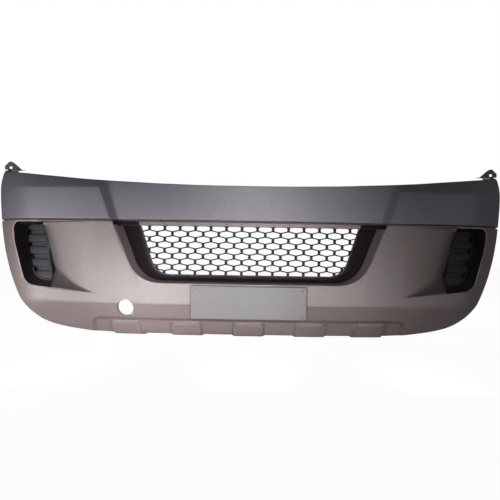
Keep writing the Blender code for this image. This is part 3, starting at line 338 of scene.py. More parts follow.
def shade(piece, angle=35.0):
    piece.data.shade_smooth()
    piece.data.set_sharp_from_angle(angle=radians(angle))


def outward(piece):
    """Faces of a closed piece turned to point out."""
    build = bmesh.new()
    build.from_mesh(piece.data)
    bmesh.ops.remove_doubles(build, verts=build.verts, dist=0.00001)
    bmesh.ops.recalc_face_normals(build, faces=build.faces)
    build.to_mesh(piece.data)
    build.free()
    return piece


def mirrored(piece, name):
    """Mirror image of a settled piece."""
    mesh = piece.data.copy()
    mesh.transform(Matrix.Scale(-1.0, 4, Vector((1, 0, 0))))
    mesh.flip_normals()
    return show(name, mesh)


def prism(name, outline, front, back, finish=None):
    """Closed prism along Y over an outline of (x, height)."""
    count = len(outline)
    points = [at(x, y, h) for y in (front, back) for x, h in outline]
    faces = [range(count), range(count, 2 * count)[::-1]]
    for i in range(count):
        j = (i + 1) % count
        faces.append((j, i, i + count, j + count))
    return outward(new_piece(name, points, faces, finish))


def oval(x, height, wide, tall, count):
    """Points of an ellipse, or of a circle where wide and tall are the same."""
    return [(x + wide * cos(tau * i / count), height + tall * sin(tau * i / count))
            for i in range(count)]


def keep(piece, finish_slot, *replaced):
    """Hands a finished piece to the frame."""
    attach(piece, "root")
    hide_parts(*replaced)
    print(f"{piece.name}: {len(piece.data.polygons)} faces")


def keep_pair(piece, finish_slot, node):
    """Hands over a right piece, whose node name ends in _right, and its mirror image."""
    piece.name = node + "_right_fine"
    other = mirrored(piece, node + "_left_fine")
    keep(piece, finish_slot, node + "_right")
    keep(other, finish_slot, node + "_left")


# %% [markdown]
# ## Writing node trees
# Materials and the repeating pieces are node trees.  Two helpers keep them short.  `writer`
# gives a function that adds a node and wires it from whatever it is handed: a number, a
# colour, another node or one of its sockets.  `Term` wraps a socket, so that plain
# arithmetic such as `(a - b) * 2.0` adds the Math nodes.

# %% Nodes from calls, Math nodes from arithmetic
class Term:
    def __init__(self, add, socket):
        self.add, self.socket = add, socket

    def do(self, operation, *others, clamp=False, first=None):
        terms = (first, self) if first is not None else (self, *others)
        node = self.add("ShaderNodeMath", *terms, operation=operation, use_clamp=clamp)
        return Term(self.add, node.outputs[0])

    def __add__(self, other):
        return self.do("ADD", other)

    def __sub__(self, other):
        return self.do("SUBTRACT", other)

    def __mul__(self, other):
        return self.do("MULTIPLY", other)

    def __truediv__(self, other):
        return self.do("DIVIDE", other)

    def __rsub__(self, other):
        return self.do("SUBTRACT", first=other)

    def __rtruediv__(self, other):
        return self.do("DIVIDE", first=other)


def writer(tree):
    """Function that adds nodes: small letters set properties, capitals feed inputs."""
    def feed(socket, value):
        if isinstance(value, Term):
            value = value.socket
        elif isinstance(value, bpy.types.Node):
            value = value.outputs[0]
        if isinstance(value, bpy.types.NodeSocket):
            tree.links.new(value, socket)
        elif value is not None:
            is_colour = socket.type == "RGBA" and len(value) == 3
            socket.default_value = (*value, 1.0) if is_colour else value

    def add(kind, *values, **settings):
        node = tree.nodes.new(kind)
        for name, value in settings.items():
            if name.islower():
                setattr(node, name, value)
            else:
                feed(node.inputs[name.replace("_", " ")], value)
        for socket, value in zip(node.inputs, values):
            feed(socket, value)
        return node

    add.feed = feed
    return add


def group(name, kind, inputs, outputs):
    """Writer, inputs by name, and a call that feeds the outputs and returns the tree.

    Every socket is named; a string stands for a kind of socket without a default.
    """
    tree = bpy.data.node_groups.new(name, kind + "NodeTree")
    for way, sockets in (("INPUT", inputs), ("OUTPUT", outputs)):
        for label, value in sockets.items():
            named = {int: "Int", float: "Float"}.get(type(value), value)
            socket = tree.interface.new_socket(label, in_out=way,
                                               socket_type="NodeSocket" + named)
            if named != value:
                socket.default_value = value
    add = writer(tree)
    into, out = add("NodeGroupInput"), add("NodeGroupOutput")

    def give(*values):
        for label, value in zip(outputs, values):
            add.feed(out.inputs[label], value)
        return tree

    return add, {label: Term(add, into.outputs[label]) for label in inputs}, give


def vector(add, x=None, y=None, z=None):
    return add("ShaderNodeCombineXYZ", x, y, z)


def split(add, value):
    parts = add("ShaderNodeSeparateXYZ", value)
    return [Term(add, socket) for socket in parts.outputs]


def object_place(add):
    return add("ShaderNodeTexCoord").outputs["Object"]


def noise(add, scale, where=None, **settings):
    made = add("ShaderNodeTexNoise", Vector=where or object_place(add), Scale=scale, **settings)
    return Term(add, made.outputs[0])


# %% [markdown]
# ## Shared shader effects
# Real bumper plastic is moulded against an etched tool, so it has a fine leathery grain,
# and it picks up dust and small scuffs; painted shade darkens its joints.  Each effect is a
# node group with named inputs, so that every finish can use it with its own values.  The
# groups give out masks and heights only; the Principled shader stays in each material.

# %% Grain, drift, dust, scuffs and painted shade in joints
def make_grain():
    """A cellular leather pattern with a finer speckle."""
    add, read, give = group("moulded grain", "Shader", {
        "Cell Size": 0.0012, "Speckle Size": 0.0005, "Speckle Share": 0.35},
        {"Height": "Float", "Mask": "Float"})
    cells = add("ShaderNodeTexVoronoi", feature="SMOOTH_F1", Vector=object_place(add),
                Scale=1.0 / read["Cell Size"], Smoothness=0.35)
    speckle = noise(add, 1.0 / read["Speckle Size"], Detail=2.0)
    height = Term(add, cells.outputs["Distance"]) + speckle * read["Speckle Share"]
    return give(height, height.do("MULTIPLY", 1.2, clamp=True))


def make_clouds():
    """Cloudy drift, as in pigment and light dust."""
    add, read, give = group("cloudy drift", "Shader", {
        "Size": 0.06, "Low": 0.35, "High": 0.65, "Detail": 5.0}, {"Mask": "Float"})
    cloud = noise(add, 1.0 / read["Size"], Detail=read["Detail"])
    return give(add("ShaderNodeMapRange", Value=cloud, From_Min=read["Low"],
                    From_Max=read["High"]))


def make_dust():
    """Dust that settles on faces that look up."""
    add, read, give = group("settled dust", "Shader", {"Amount": 0.3, "Patch Size": 0.03},
                           {"Mask": "Float"})
    facing = split(add, add("ShaderNodeNewGeometry").outputs["Normal"])[2]
    patch = facing.do("SUBTRACT", 0.15, clamp=True) * noise(
        add, 1.0 / read["Patch Size"], Detail=6.0)
    return give(patch.do("MULTIPLY", read["Amount"], clamp=True))


def make_scuffs():
    """Thin bright hairs, broken up by a second noise."""
    add, read, give = group("fine scuffs", "Shader", {"Spacing": 0.05, "Amount": 0.5},
                           {"Mask": "Float"})
    where = object_place(add)
    turned = add("ShaderNodeMapping", Vector=where, Rotation=(0.3, 0.9, 0.2),
                 Scale=(1.0, 1.0, 14.0))
    hair = noise(add, 1.0 / read["Spacing"], turned, Detail=3.0)
    wide = (hair - 0.5).do("ABSOLUTE") * 90.0
    thin = wide.do("SUBTRACT", first=1.0, clamp=True)
    few = noise(add, 9.0, where).do("SUBTRACT", 0.56, clamp=True).do(
        "MULTIPLY", 6.0, clamp=True)
    return give((thin * few).do("MULTIPLY", read["Amount"], clamp=True))


def make_joint_shade():
    """Painted shade in the joint round a rectangle on the face; it can lean, and has a mirror
    twin.
    """
    add, read, give = group("grime in a joint", "Shader", {
        "Centre Run": 0.0, "Half Width": 0.2, "Half Height": 0.06, "Lean": 0.0,
        "Centre Height": -0.41, "Width": 0.003}, {"Mask": "Float"})
    x, _, z = split(add, object_place(add))
    up = z - read["Centre Height"]
    high = up.do("ABSOLUTE") - read["Half Height"]
    middle = read["Centre Run"] + up * read["Lean"]
    wide = (x.do("ABSOLUTE") - middle).do("ABSOLUTE") - read["Half Width"]
    away = wide.do("MAXIMUM", high).do("ABSOLUTE") / read["Width"]
    return give(away.do("SUBTRACT", first=1.0, clamp=True))


GRAIN, CLOUDS, DUST, SCUFFS, JOINT_SHADE = (make() for make in (
    make_grain, make_clouds, make_dust, make_scuffs, make_joint_shade))
print("shader groups:", [g.name for g in (GRAIN, CLOUDS, DUST, SCUFFS, JOINT_SHADE)])

# %% [markdown]
# ## The finishes
# Every plastic here is the same recipe with other numbers: a pigment that drifts a little,
# a fine speckle, dust on the ledges, rare scuffs, and the grain as a bump.  The big grey
# mouldings have a coarse dull grain, the black inserts a finer one with a little more gloss.
# The cover also has painted shade in its joints, and reads two values from its mesh: `ledge`
# for painted shade in the scoops and `rim` for a painted highlight on the fog lamp openings.

# %% One recipe for all plastics, and one for steel
DUST_COLOUR = (0.30, 0.27, 0.245)
# Painted shade, laid in the joints and on the scoop shelves
PAINTED_SHADE_COLOUR = (0.012, 0.010, 0.010)
# Painted highlight on the outer and top edges of the fog lamp openings
PAINTED_HIGHLIGHT_COLOUR = (0.36, 0.32, 0.32)
WARM_DRIFT = (1.06, 0.99, 0.96)


def new_material(name):
    made = bpy.data.materials.new(name)
    made.use_nodes = True
    return made, writer(made.node_tree), made.node_tree.nodes["Principled BSDF"]


def mask_of(add, shared, **values):
    return Term(add, add("ShaderNodeGroup", node_tree=shared, **values).outputs["Mask"])


def mix_colour(add, share, first, second):
    node = add("ShaderNodeMix", data_type="RGBA")
    for number, value in ((0, share), (6, first), (7, second)):
        add.feed(node.inputs[number], value)
    return node.outputs[2]


def plastic(name, colour, roughness, cell=0.0013, bump=0.30, speckle=0.16, dust=0.25,
            scuffs=0.25, specular=0.5, joints=(), drift=0.035):
    made, add, shader = new_material(name)
    shader.inputs["Specular IOR Level"].default_value = specular
    dark = tuple(c * (1 - drift) for c in colour)
    pale = tuple(c * (1 + drift) * w for c, w in zip(colour, WARM_DRIFT))
    base = mix_colour(add, mask_of(add, CLOUDS, Size=0.09, Low=0.32, High=0.68), dark, pale)
    grain = add("ShaderNodeGroup", node_tree=GRAIN, Cell_Size=cell, Speckle_Size=cell * 0.45)
    sparkle = mask_of(add, CLOUDS, Size=cell * 2.6, Low=0.40, High=0.62, Detail=2.0)
    lighter = tuple(c * (1 + speckle * 2) for c in colour)
    base = mix_colour(add, sparkle * min(speckle * 4, 1.0), base, lighter)
    dirt = mask_of(add, DUST, Amount=dust, Patch_Size=0.035)
    base = mix_colour(add, dirt, base, DUST_COLOUR)
    scratch = tuple(min(c * 2.4 + 0.03, 1.0) for c in colour)
    base = mix_colour(add, mask_of(add, SCUFFS, Spacing=0.06, Amount=scuffs), base, scratch)
    # Painted shade along the joints round the plate, the channel top and the pads
    for middle, half_width, half_height, centre, width, lean, strength in joints:
        joint_shade = mask_of(add, JOINT_SHADE, Centre_Run=middle, Half_Width=half_width, Lean=lean,
                        Half_Height=half_height, Centre_Height=centre, Width=width)
        base = mix_colour(add, joint_shade * strength, base, PAINTED_SHADE_COLOUR)
    if joints:
        # Painted shade on the scoop shelves and a painted highlight on the fog lamp rims, from the
        # mesh
        for carried, tint in (("ledge", PAINTED_SHADE_COLOUR), ("rim", PAINTED_HIGHLIGHT_COLOUR)):
            held = add("ShaderNodeAttribute", attribute_name=carried)
            base = mix_colour(add, held.outputs["Fac"], base, tint)
    add.feed(shader.inputs["Base Color"], base)
    grain_mask = Term(add, grain.outputs["Mask"])
    rough = (grain_mask * 0.10).do("ADD", first=roughness - 0.05, clamp=True)
    add.feed(shader.inputs["Roughness"], rough.do("ADD", dirt * 0.3, clamp=True))
    relief = add("ShaderNodeBump", Strength=bump, Distance=cell * 0.25,
                 Height=grain.outputs["Height"])
    add.feed(shader.inputs["Normal"], relief)
    made.diffuse_color = (*colour, 1.0)
    return made


def steel(name, colour, roughness):
    made, add, shader = new_material(name)
    shader.inputs["Metallic"].default_value = 1.0
    clouds = mask_of(add, CLOUDS, Size=0.004, Low=0.3, High=0.7)
    add.feed(shader.inputs["Base Color"],
             mix_colour(add, clouds, tuple(c * 0.8 for c in colour), colour))
    add.feed(shader.inputs["Roughness"],
             (clouds * 0.15).do("ADD", first=roughness, clamp=True))
    return made


# Painted shade in the joints: round the plate, along the channel top and beside the pads
# centre run, half width, half height, centre height, width of the line, lean, strength
COVER_JOINT_SHADES = ((0.0, 0.2042, 0.0597, -0.4105, 0.0034, 0.0, 1.0),
                (0.0, 0.535, 0.0, -0.4752, 0.0018, 0.0, 0.8),
                (0.0, 0.0555, 0.04, -0.5283, 0.0036, 0.0, 0.75),
                (0.2220, 0.0555, 0.04, -0.5283, 0.0036, 0.02, 0.75),
                (0.4350, 0.0550, 0.04, -0.5283, 0.0036, 0.222, 0.75))
BAND_GREY = plastic("band grey plastic", (0.090, 0.082, 0.105), 0.58, speckle=0.20,
                    dust=0.08, specular=1.0)
COVER_GREY = plastic("cover grey plastic", (0.106, 0.082, 0.081), 0.58, speckle=0.20,
                     dust=0.05, specular=1.0, joints=COVER_JOINT_SHADES)
PANEL_GREY = plastic("panel grey plastic", (0.070, 0.063, 0.069), 0.58, cell=0.0010,
                     speckle=0.20, specular=0.85)
SURROUND_BLACK = plastic("surround black plastic", (0.009, 0.006, 0.008), 0.50, cell=0.0008,
                         bump=0.12, speckle=0.05, dust=0.01, scuffs=0.05, specular=0.06)
# Black plastic painted lighter, as the highlight on a rounded edge
PAINTED_HIGHLIGHT_EDGE = plastic("worn black edge", (0.10, 0.092, 0.095), 0.45, cell=0.0008, bump=0.1)
MESH_BLACK = plastic("mesh black plastic", (0.007, 0.006, 0.007), 0.50, cell=0.0006,
                     bump=0.08, speckle=0.03, dust=0.02, scuffs=0.03, specular=0.12)
BEZEL_BLACK = plastic("bezel black plastic", (0.013, 0.011, 0.015), 0.48, cell=0.0008,
                      bump=0.12, speckle=0.05, dust=0.04, specular=0.25)
LOUVRE_BLACK = plastic("louvre black plastic", (0.022, 0.019, 0.025), 0.50, cell=0.0008,
                       bump=0.12, speckle=0.05, dust=0.04, specular=0.22)
# The bracket is black plastic, painted light grey for the grazing light that falls on it
BRACKET_PAINTED_LIGHT = plastic("bracket black plastic", (0.13, 0.115, 0.108), 0.55, cell=0.0009)
DARK_STEEL = steel("dark steel", (0.12, 0.12, 0.125), 0.34)
ZINC_STEEL = steel("zinc steel", (0.13, 0.13, 0.135), 0.42)
print("finishes ready")

# %% [markdown]
# ## Rules both mouldings follow
# The wings stand 21 mm proud of the middle band.  The step between them leans outward from
# the seam to the top, and the grille recess below continues the same line.  The raise dies
# out around the corner, so wing and band end flush at the wheel arch.

# %% The step beside the middle band, and the outlines of the openings
GROOVE_TOP = 0.003
GROOVE_FLOOR = -0.002
GROOVE_DEPTH = 0.0085
WALL = 0.003
PANEL_RAISE = 0.021
BEVEL_HEIGHT = 0.117
MITRE_FROM = 0.491
STEP_FROM = 0.4675
STEP_LEAN, MITRE_LEAN, MITRE_TURN = 0.3036, 0.381, 0.88
WING_FROM, FADE_FROM, FADE_LENGTH = 0.51, 0.80, 0.20
RECESS_SIDE, RECESS_LEAN, RECESS_FOOT = 0.485, 0.4125, -0.22
SHARP_TURN = radians(62)


def raise_fade(run):
    return 1.0 - ease((np.abs(run) - FADE_FROM) / FADE_LENGTH)


def strip_inner(height):
    return STEP_FROM + STEP_LEAN * np.asarray(height, dtype=float)


def strip_outer(height):
    """Leans like the inner edge, then turns back into a mitre above the bevel."""
    below = MITRE_FROM + MITRE_LEAN * np.minimum(height, BEVEL_HEIGHT)
    above = np.maximum(np.asarray(height, dtype=float) - BEVEL_HEIGHT, 0.0)
    return below - MITRE_TURN * above


def recess_edge(height):
    return RECESS_SIDE + RECESS_LEAN * np.maximum(height, RECESS_FOOT)


def side_raise(run):
    """Depth of the raised wing panel at a run; the middle band has none."""
    return -PANEL_RAISE * float(raise_fade(run)) if abs(run) > WING_FROM else 0.0


def ring_outline(ring, grow=0.0, fine=4):
    """Rounded trapezium of (x, height), clockwise from the top middle."""
    top, wide, low_x, low, reach = ring
    lean = Vector((wide - low_x, top - low)).normalized()
    slant = grow / lean.y
    top_point = Vector((wide + slant + grow * lean.x / lean.y, top + grow))
    corner = Vector((low_x + slant - grow * lean.x / lean.y, low - grow))
    start = corner + lean * reach
    end = corner - Vector((reach, 0.0))
    right = [Vector((top_point.x * i / (10 * fine), top_point.y)) for i in range(10 * fine)]
    right += [top_point.lerp(start, i / (5 * fine)) for i in range(5 * fine)]
    for i in range(5 * fine):
        t = i / (5 * fine)
        right.append(start * (1 - t) ** 2 + corner * 2 * t * (1 - t) + end * t * t)
    right += [end.lerp(Vector((0.0, end.y)), i / (8 * fine)) for i in range(8 * fine)]
    loop = right + [Vector((0.0, end.y))] + [Vector((-p.x, p.y)) for p in reversed(right[1:])]
    return [(p.x, p.y) for p in loop]


def spline_loop(loop, steps=6):
    """Smooth closed loop through the given corners; sharp corners stay sharp."""
    count = len(loop)
    corner = [Vector(p) for p in loop]

    def sharp(i):
        before = corner[i % count] - corner[i % count - 1]
        after = corner[(i + 1) % count] - corner[i % count]
        return abs(before.angle_signed(after)) > SHARP_TURN

    points = []
    for i in range(count):
        b, c = corner[i], corner[(i + 1) % count]
        a = 2 * b - c if sharp(i) else corner[i - 1]
        d = 2 * c - b if sharp(i + 1) else corner[(i + 2) % count]
        for s in range(steps):
            t = s / steps
            points.append(tuple(0.5 * (2 * b + (c - a) * t + (2 * a - 5 * b + 4 * c - d) * t * t
                                       + (3 * b - a - 3 * c + d) * t ** 3)))
    return points


def grown(loop, distance):
    """Loop moved outward; every point moves along its own corner."""
    area = sum(a[0] * b[1] - b[0] * a[1] for a, b in zip(loop, loop[1:] + loop[:1]))
    turn = 1.0 if area > 0 else -1.0
    result = []
    for i in range(len(loop)):
        a, b, c = Vector(loop[i - 1]), Vector(loop[i]), Vector(loop[(i + 1) % len(loop)])
        one, two = (b - a).normalized(), (c - b).normalized()
        n1 = Vector((one.y, -one.x)) * turn
        middle = (n1 + Vector((two.y, -two.x)) * turn).normalized()
        result.append(tuple(b + middle * (distance / max(middle.dot(n1), 0.5))))
    return result


print("step leans from", strip_inner(0.0), "to", strip_inner(0.14).round(4))

# %% [markdown]
# ## The upper band
# The band is a long moulding with a turned-in flange along its foot, where it is screwed to
# the lower cover, and a turned-back flange along its top with tabs for the body fixings.
# It is woven here as one sheet from the foot flange over the face to the top flange, and a
# Solidify modifier gives it the 3 mm wall of a real moulding.

# %% Weave the band
TABS = ((0.0, 0.055), (0.33, 0.035), (0.62, 0.035))
BEFORE_STEP = (0.0, 0.055, 0.059, 0.291, 0.295, 0.365, 0.369)
PAST_STEP = (0.581, 0.585, 0.655, 0.659, 0.80, 1.0, SKIN_END)
BAND_ROWS = (0.0, 0.030, 0.147, 0.175, 0.199)
FOOT_FLANGE, TOP_FLANGE, TAB_REACH = 0.030, 0.024, 0.022
BAND_STEPS = (0.0020, 0.0125)      # finest and coarsest step between grid lines


def tab_share(run):
    share = np.zeros_like(run)
    for place, half in TABS:
        away = np.abs(np.abs(run) - place)
        share = np.maximum(share, 1.0 - ramp(away, half, half + 0.004))
    return share


def band_raise(where, run):
    """Raised by the share of the strip already crossed between its two column guides."""
    crossed = np.clip(where - len(BEFORE_STEP), 0.0, 1.0)
    return -PANEL_RAISE * raise_fade(run) * crossed


def upright(run):
    """Column guide that stays at one run."""
    return lambda height: run + 0 * height


def band_sheet():
    columns = [upright(run) for run in BEFORE_STEP] + [strip_inner, strip_outer]
    columns += [upright(run) for run in PAST_STEP]
    places = (*BEFORE_STEP, STEP_FROM, MITRE_FROM, *PAST_STEP)

    def foot(depth):
        return lambda run, where: (GROOVE_TOP + 0 * run, depth + band_raise(where, run))

    def face(run, where):
        return BEVEL_HEIGHT + 0 * run, band_raise(where, run)

    def crown(run, where):
        return read_curve(TOP_EDGE, run), 0 * run

    def flange(run, where):
        return read_curve(TOP_EDGE, run), TOP_FLANGE + TAB_REACH * tab_share(run)

    rows = [foot(FOOT_FLANGE), foot(0.0), face, crown, flange]
    grid = both_halves(skin(*weave(columns, rows, places, BAND_ROWS, *BAND_STEPS)))
    grid = soften(soften(grid, 0, 2), 1, 2)
    return sheet("upper_band_fine", grid, BAND_GREY)


band = solidify(band_sheet(), WALL)
print("band:", len(band.data.polygons), "faces")

# %% [markdown]
# The band's flanges are drilled for the body fixings, and webs behind the face keep it
# straight.  On the real part the webs are moulded in one with the wall.

# %% Holes and webs of the band
TAB_HOLES = (-0.62, -0.33, -0.036, 0.036, 0.33, 0.62)
TAB_HOLE_RADIUS, TAB_HOLE_DEPTH = 0.0048, 0.034
WEB_RUNS = (0.24, 0.44, 0.72)
WEB_HALF, WEB_FOOT, WEB_BACK = 0.0011, 0.004, 0.022


def top_of_band(run):
    return float(read_curve(TOP_EDGE, abs(run)))


def drills(places, radius, length):
    """Upright round cutters at places."""
    build = bmesh.new()
    for place in places:
        bmesh.ops.create_cone(build, cap_ends=True, segments=24, radius1=radius,
                              radius2=radius, depth=length,
                              matrix=Matrix.Translation(Vector(place)))
    mesh = bpy.data.meshes.new("drills")
    build.to_mesh(mesh)
    build.free()
    return show("drills", mesh)


cut(band, drills([skin(run, top_of_band(run), TAB_HOLE_DEPTH) for run in TAB_HOLES],
                 TAB_HOLE_RADIUS, 0.024))


def web(run):
    """Upright rib behind the face, from flange to flange."""
    high = top_of_band(run) - 0.001
    profile = ((WEB_FOOT, 0.0015), (BEVEL_HEIGHT, 0.0015), (high, 0.0035), (high, WEB_BACK),
               (WEB_FOOT, WEB_BACK))
    points = [skin(run + side, h, depth + (side_raise(run) if h <= BEVEL_HEIGHT else 0.0))
              for side in (-WEB_HALF, WEB_HALF) for h, depth in profile]
    faces = [(0, 1, 2, 3, 4), (9, 8, 7, 6, 5)]
    faces += [(i, i + 5, (i + 1) % 5 + 5, (i + 1) % 5) for i in range(5)]
    return outward(new_piece("web", points, faces, BAND_GREY))


webs = [web(hand * run) for run in WEB_RUNS for hand in (-1, 1)]
band = join("upper_band_fine", [band] + webs)
shade(band, 38)
keep(band, "band_grey_plastic", "upper_band")

# %% [markdown]
# ## The lower cover
# The cover carries nearly every form of the bumper: the grille recess, the scoops beside
# it, the fog lamp openings, the number plate face, and the channel with five raised pads
# above the bottom lip.  All of these are depths laid over the same skin, so the sheet is
# woven between the edges of the pads, the recess and the scoops.

# %% Depths of the cover
CHANNEL_DEPTH = 0.010
CHANNEL_END = (0.553, 0.565)
CHANNEL_TOP = -0.347
CHANNEL_ROUND = 0.020
PAD_PLACES = (0.0, 0.2225, 0.4455)
PAD_LEAN = (0.0, 0.001, 0.012)
PAD_HALF = 0.0575
PAD_SLOPE = 0.004
PAD_TOP = -0.3605
PAD_ROUND = 0.009
PAD_SIDES = (0.346, 0.400)
BELOW_RECESS = (0.25, 0.33)
SCOOP_EDGE = ((0.0, -0.268), (0.4827, -0.2649), (0.5998, -0.2537), (0.6896, -0.2446),
              (0.7626, -0.2379), (0.82, -0.232), (0.85, -0.229))
SCOOP_CREASE = ((0.0, -0.2600), (0.4827, -0.2600), (0.5407, -0.2560), (0.5941, -0.2420),
                (0.6421, -0.2210), (0.6956, -0.1860), (0.73, -0.178), (0.85, -0.178))
SCOOP_OUTER = ((-0.42, 0.724), (-0.2307, 0.7240), (-0.1929, 0.7260), (-0.1494, 0.7420),
               (-0.1090, 0.7485), (-0.0563, 0.7650), (-0.0300, 0.7790), (-0.0085, 0.7960),
               (0.01, 0.7960))
SCOOP_HOLD = 0.60
SCOOP_FROM, SCOOP_REACH, SCOOP_DEPTH, SCOOP_SWELL, CREASE_SHARE = 0.54, 0.21, 0.055, 1.6, 1.6
LIP_FLANGE, LIP_PLAIN, LIP_DROP = 0.028, (0.66, 0.80), 0.004
COVER_STEPS = (0.0026, 0.015)      # finest and coarsest step between grid lines


def rounding(height, top, radius):
    """How far a side edge draws in where it rounds into a top edge."""
    up = np.clip((np.asarray(height, dtype=float) - top) / radius + 1.0, 0.0, 1.0)
    return radius * (1.0 - np.sqrt(1.0 - up ** 2))


def pad_share(run, height):
    down = ramp(-np.asarray(height), *PAD_SIDES)
    half = PAD_HALF - rounding(height, PAD_TOP, PAD_ROUND)
    share = np.zeros_like(run)
    for place, lean in zip(PAD_PLACES, PAD_LEAN):
        away = np.abs(np.abs(run) - (place - lean * down))
        share = np.maximum(share, 1.0 - ramp(away, half - PAD_SLOPE, half))
    return share


def channel(run, level):
    if level > CHANNEL_TOP - 0.001:
        return 0.0 * run
    drawn_in = rounding(level, CHANNEL_TOP, CHANNEL_ROUND)
    inside = 1.0 - ramp(np.abs(run) + drawn_in, *CHANNEL_END)
    pad = pad_share(run, level) if level < PAD_TOP + 0.003 else 0.0
    return CHANNEL_DEPTH * inside * (1.0 - pad)


def scoop_line(rows, run):
    """A scoop line; past the scoop it closes up with the bottom edge."""
    limit, last = rows[-1]
    closing = last / float(read_curve(BOTTOM_EDGE, limit)) * read_curve(BOTTOM_EDGE, run)
    return np.where(run <= limit, read_curve(rows, run), closing)


def scoop_floor(run):
    return SCOOP_DEPTH * np.maximum((run - SCOOP_FROM) / SCOOP_REACH, 0.0) ** SCOOP_SWELL


def under_scoop(run, level):
    """Rows under the scoop keep their height, then close up with the bottom edge."""
    top = float(read_curve(SCOOP_EDGE, SCOOP_HOLD))
    low = float(read_curve(BOTTOM_EDGE, SCOOP_HOLD))
    here = scoop_line(SCOOP_EDGE, run)
    share = (level - top) / (low - top)
    return np.where(run <= SCOOP_HOLD, level,
                    here + share * (read_curve(BOTTOM_EDGE, run) - here))


print("scoop depth at its outer end:", round(float(scoop_floor(np.array(0.75))), 4))

# %% [markdown]
# The column guides follow the pads down to the bottom lip.  The outer edge of the last pad
# runs up into the step beside the recess, and the pad's inner edge is drawn aside higher up,
# so the two never cross.

# %% Weave the cover
def pad_guide(place, lean, edge):
    """Column guide along one edge of a pad."""
    run, sign = place + edge, 1.0 if edge > 0 else -1.0

    def foot(height):
        drawn_in = sign * rounding(height, PAD_TOP, PAD_ROUND)
        if place == PAD_PLACES[2] and sign < 0:
            drawn_in = drawn_in + 0.026 * (1 - ramp(-height, *BELOW_RECESS))
        return run - drawn_in - lean * ramp(-height, *PAD_SIDES)

    inset = {PAD_HALF - PAD_SLOPE: 0.0125, PAD_HALF: 0.0005}.get(edge)
    if place != PAD_PLACES[2] or inset is None:
        return foot
    return lambda height: ((recess_edge(height) - inset) * (1 - ramp(-height, *BELOW_RECESS))
                           + foot(height) * ramp(-height, *BELOW_RECESS))


def cover_guides():
    """Column guides with their places, and the number of the first one along the scoop."""
    guides = [(upright(0.0), 0.0)]
    for place, lean in zip(PAD_PLACES, PAD_LEAN):
        for edge in (-PAD_HALF, PAD_SLOPE - PAD_HALF, PAD_HALF - PAD_SLOPE, PAD_HALF):
            if place + edge > 0:
                guides.append((pad_guide(place, lean, edge), place + edge))
    for run in CHANNEL_END:
        guides.append((lambda h, run=run: run - rounding(h, CHANNEL_TOP, CHANNEL_ROUND), run))
    scoop_number = len(guides)
    guides.append((lambda h: read_curve(SCOOP_OUTER, h), 0.735))
    guides.append((lambda h: read_curve(SCOOP_OUTER, h) + 0.004, 0.739))
    guides += [(upright(run), run) for run in (0.87, 1.0, SKIN_END)]
    return guides, scoop_number


def cover_sheet():
    guides, scoop_number = cover_guides()
    step_place = PAD_PLACES[2] + PAD_HALF - PAD_SLOPE
    step_number = next(i for i, g in enumerate(guides) if abs(g[1] - step_place) < 0.0001)

    def with_lift(run, where, height, depth):
        """The wing panel's raise, which dies out below the scoop, is taken off the depth."""
        share = np.clip(where - step_number, 0.0, 1.0)
        lifted = -PANEL_RAISE * share * raise_fade(run) * np.maximum(0.0, 1 - height / RECESS_FOOT)
        return height, depth + lifted

    def in_scoop(where):
        return 1.0 - np.clip(where - scoop_number, 0.0, 1.0)

    def lip(rise, inward):
        def row(run, where):
            plain = ramp(run, *LIP_PLAIN)
            height = read_curve(BOTTOM_EDGE, run) - LIP_DROP * pad_share(run, -0.40)
            depth = inward * (1 - plain) + channel(run, -0.398)
            return with_lift(run, where, height + rise * (1 - 0.4 * plain), depth)
        return row

    def low(level):
        return lambda run, where: with_lift(
            run, where, under_scoop(run, level), channel(run, level))

    def edge(run, where):
        return with_lift(run, where, scoop_line(SCOOP_EDGE, run), 0.0 * run)

    def crease(run, where):
        height = scoop_line(SCOOP_CREASE, run)
        depth = CREASE_SHARE * scoop_floor(run) * in_scoop(where)
        return with_lift(run, where, height, depth)

    def upper(height, share, depth=0.0):
        return lambda run, where: with_lift(
            run, where, height + 0 * run, depth + scoop_floor(run) * in_scoop(where) * share)

    rows = [(lip(0.0, LIP_FLANGE), 0.0), (lip(0.003, 0.0), 0.028), (low(PAD_TOP), 0.068),
            (low(-0.3555), 0.0735), (low(CHANNEL_TOP - 0.0025), 0.0795),
            (low(CHANNEL_TOP), 0.0825), (low(FRONT_CREASE), 0.138),
            (edge, 0.161), (crease, 0.175), (upper(-0.0085, 1.0), 0.42),
            (upper(-0.0062, 0.0), 0.44), (upper(GROOVE_FLOOR, 0.0, 0.0006), 0.445),
            (upper(GROOVE_FLOOR, 0.0, GROOVE_DEPTH), 0.454),
            (upper(0.0027, 0.0, GROOVE_DEPTH), 0.459), (upper(0.0027, 0.0, 0.032), 0.483)]
    woven = weave([g[0] for g in guides], [r[0] for r in rows],
                  [g[1] for g in guides], [r[1] for r in rows], *COVER_STEPS)
    grid = soften(soften(both_halves(skin(*woven)), 0, 1), 1, 1)
    return sheet("lower_cover_fine", grid, COVER_GREY)


cover = solidify(cover_sheet(), WALL, even=False)
print("cover:", len(cover.data.polygons), "faces")

# %% [markdown]
# Everything fixed to the cover is seated by measuring its wall before any opening is cut.
# A ray along Y finds the outer face and the inner face.  `ribbon` then builds what lines an
# opening: one short path per point of the outline, all with the same rounded corners.

# %% Measure the cover's wall, and line an opening
AXIS_Y = Vector((0, 1, 0))
SEAM_CLEAR = -0.0155
wall_tree = BVHTree.FromPolygons([v.co.copy() for v in cover.data.vertices],
                                 [tuple(f.vertices) for f in cover.data.polygons])


def on_wall(x, height, inner=False):
    """Y of the cover's outer face at a place, or of its inner face."""
    spot = wall_tree.ray_cast(at(x, -1.0, height), AXIS_Y)[0]
    if inner:
        spot = wall_tree.ray_cast(spot + AXIS_Y * 0.0008, AXIS_Y)[0] or spot
    return spot.y


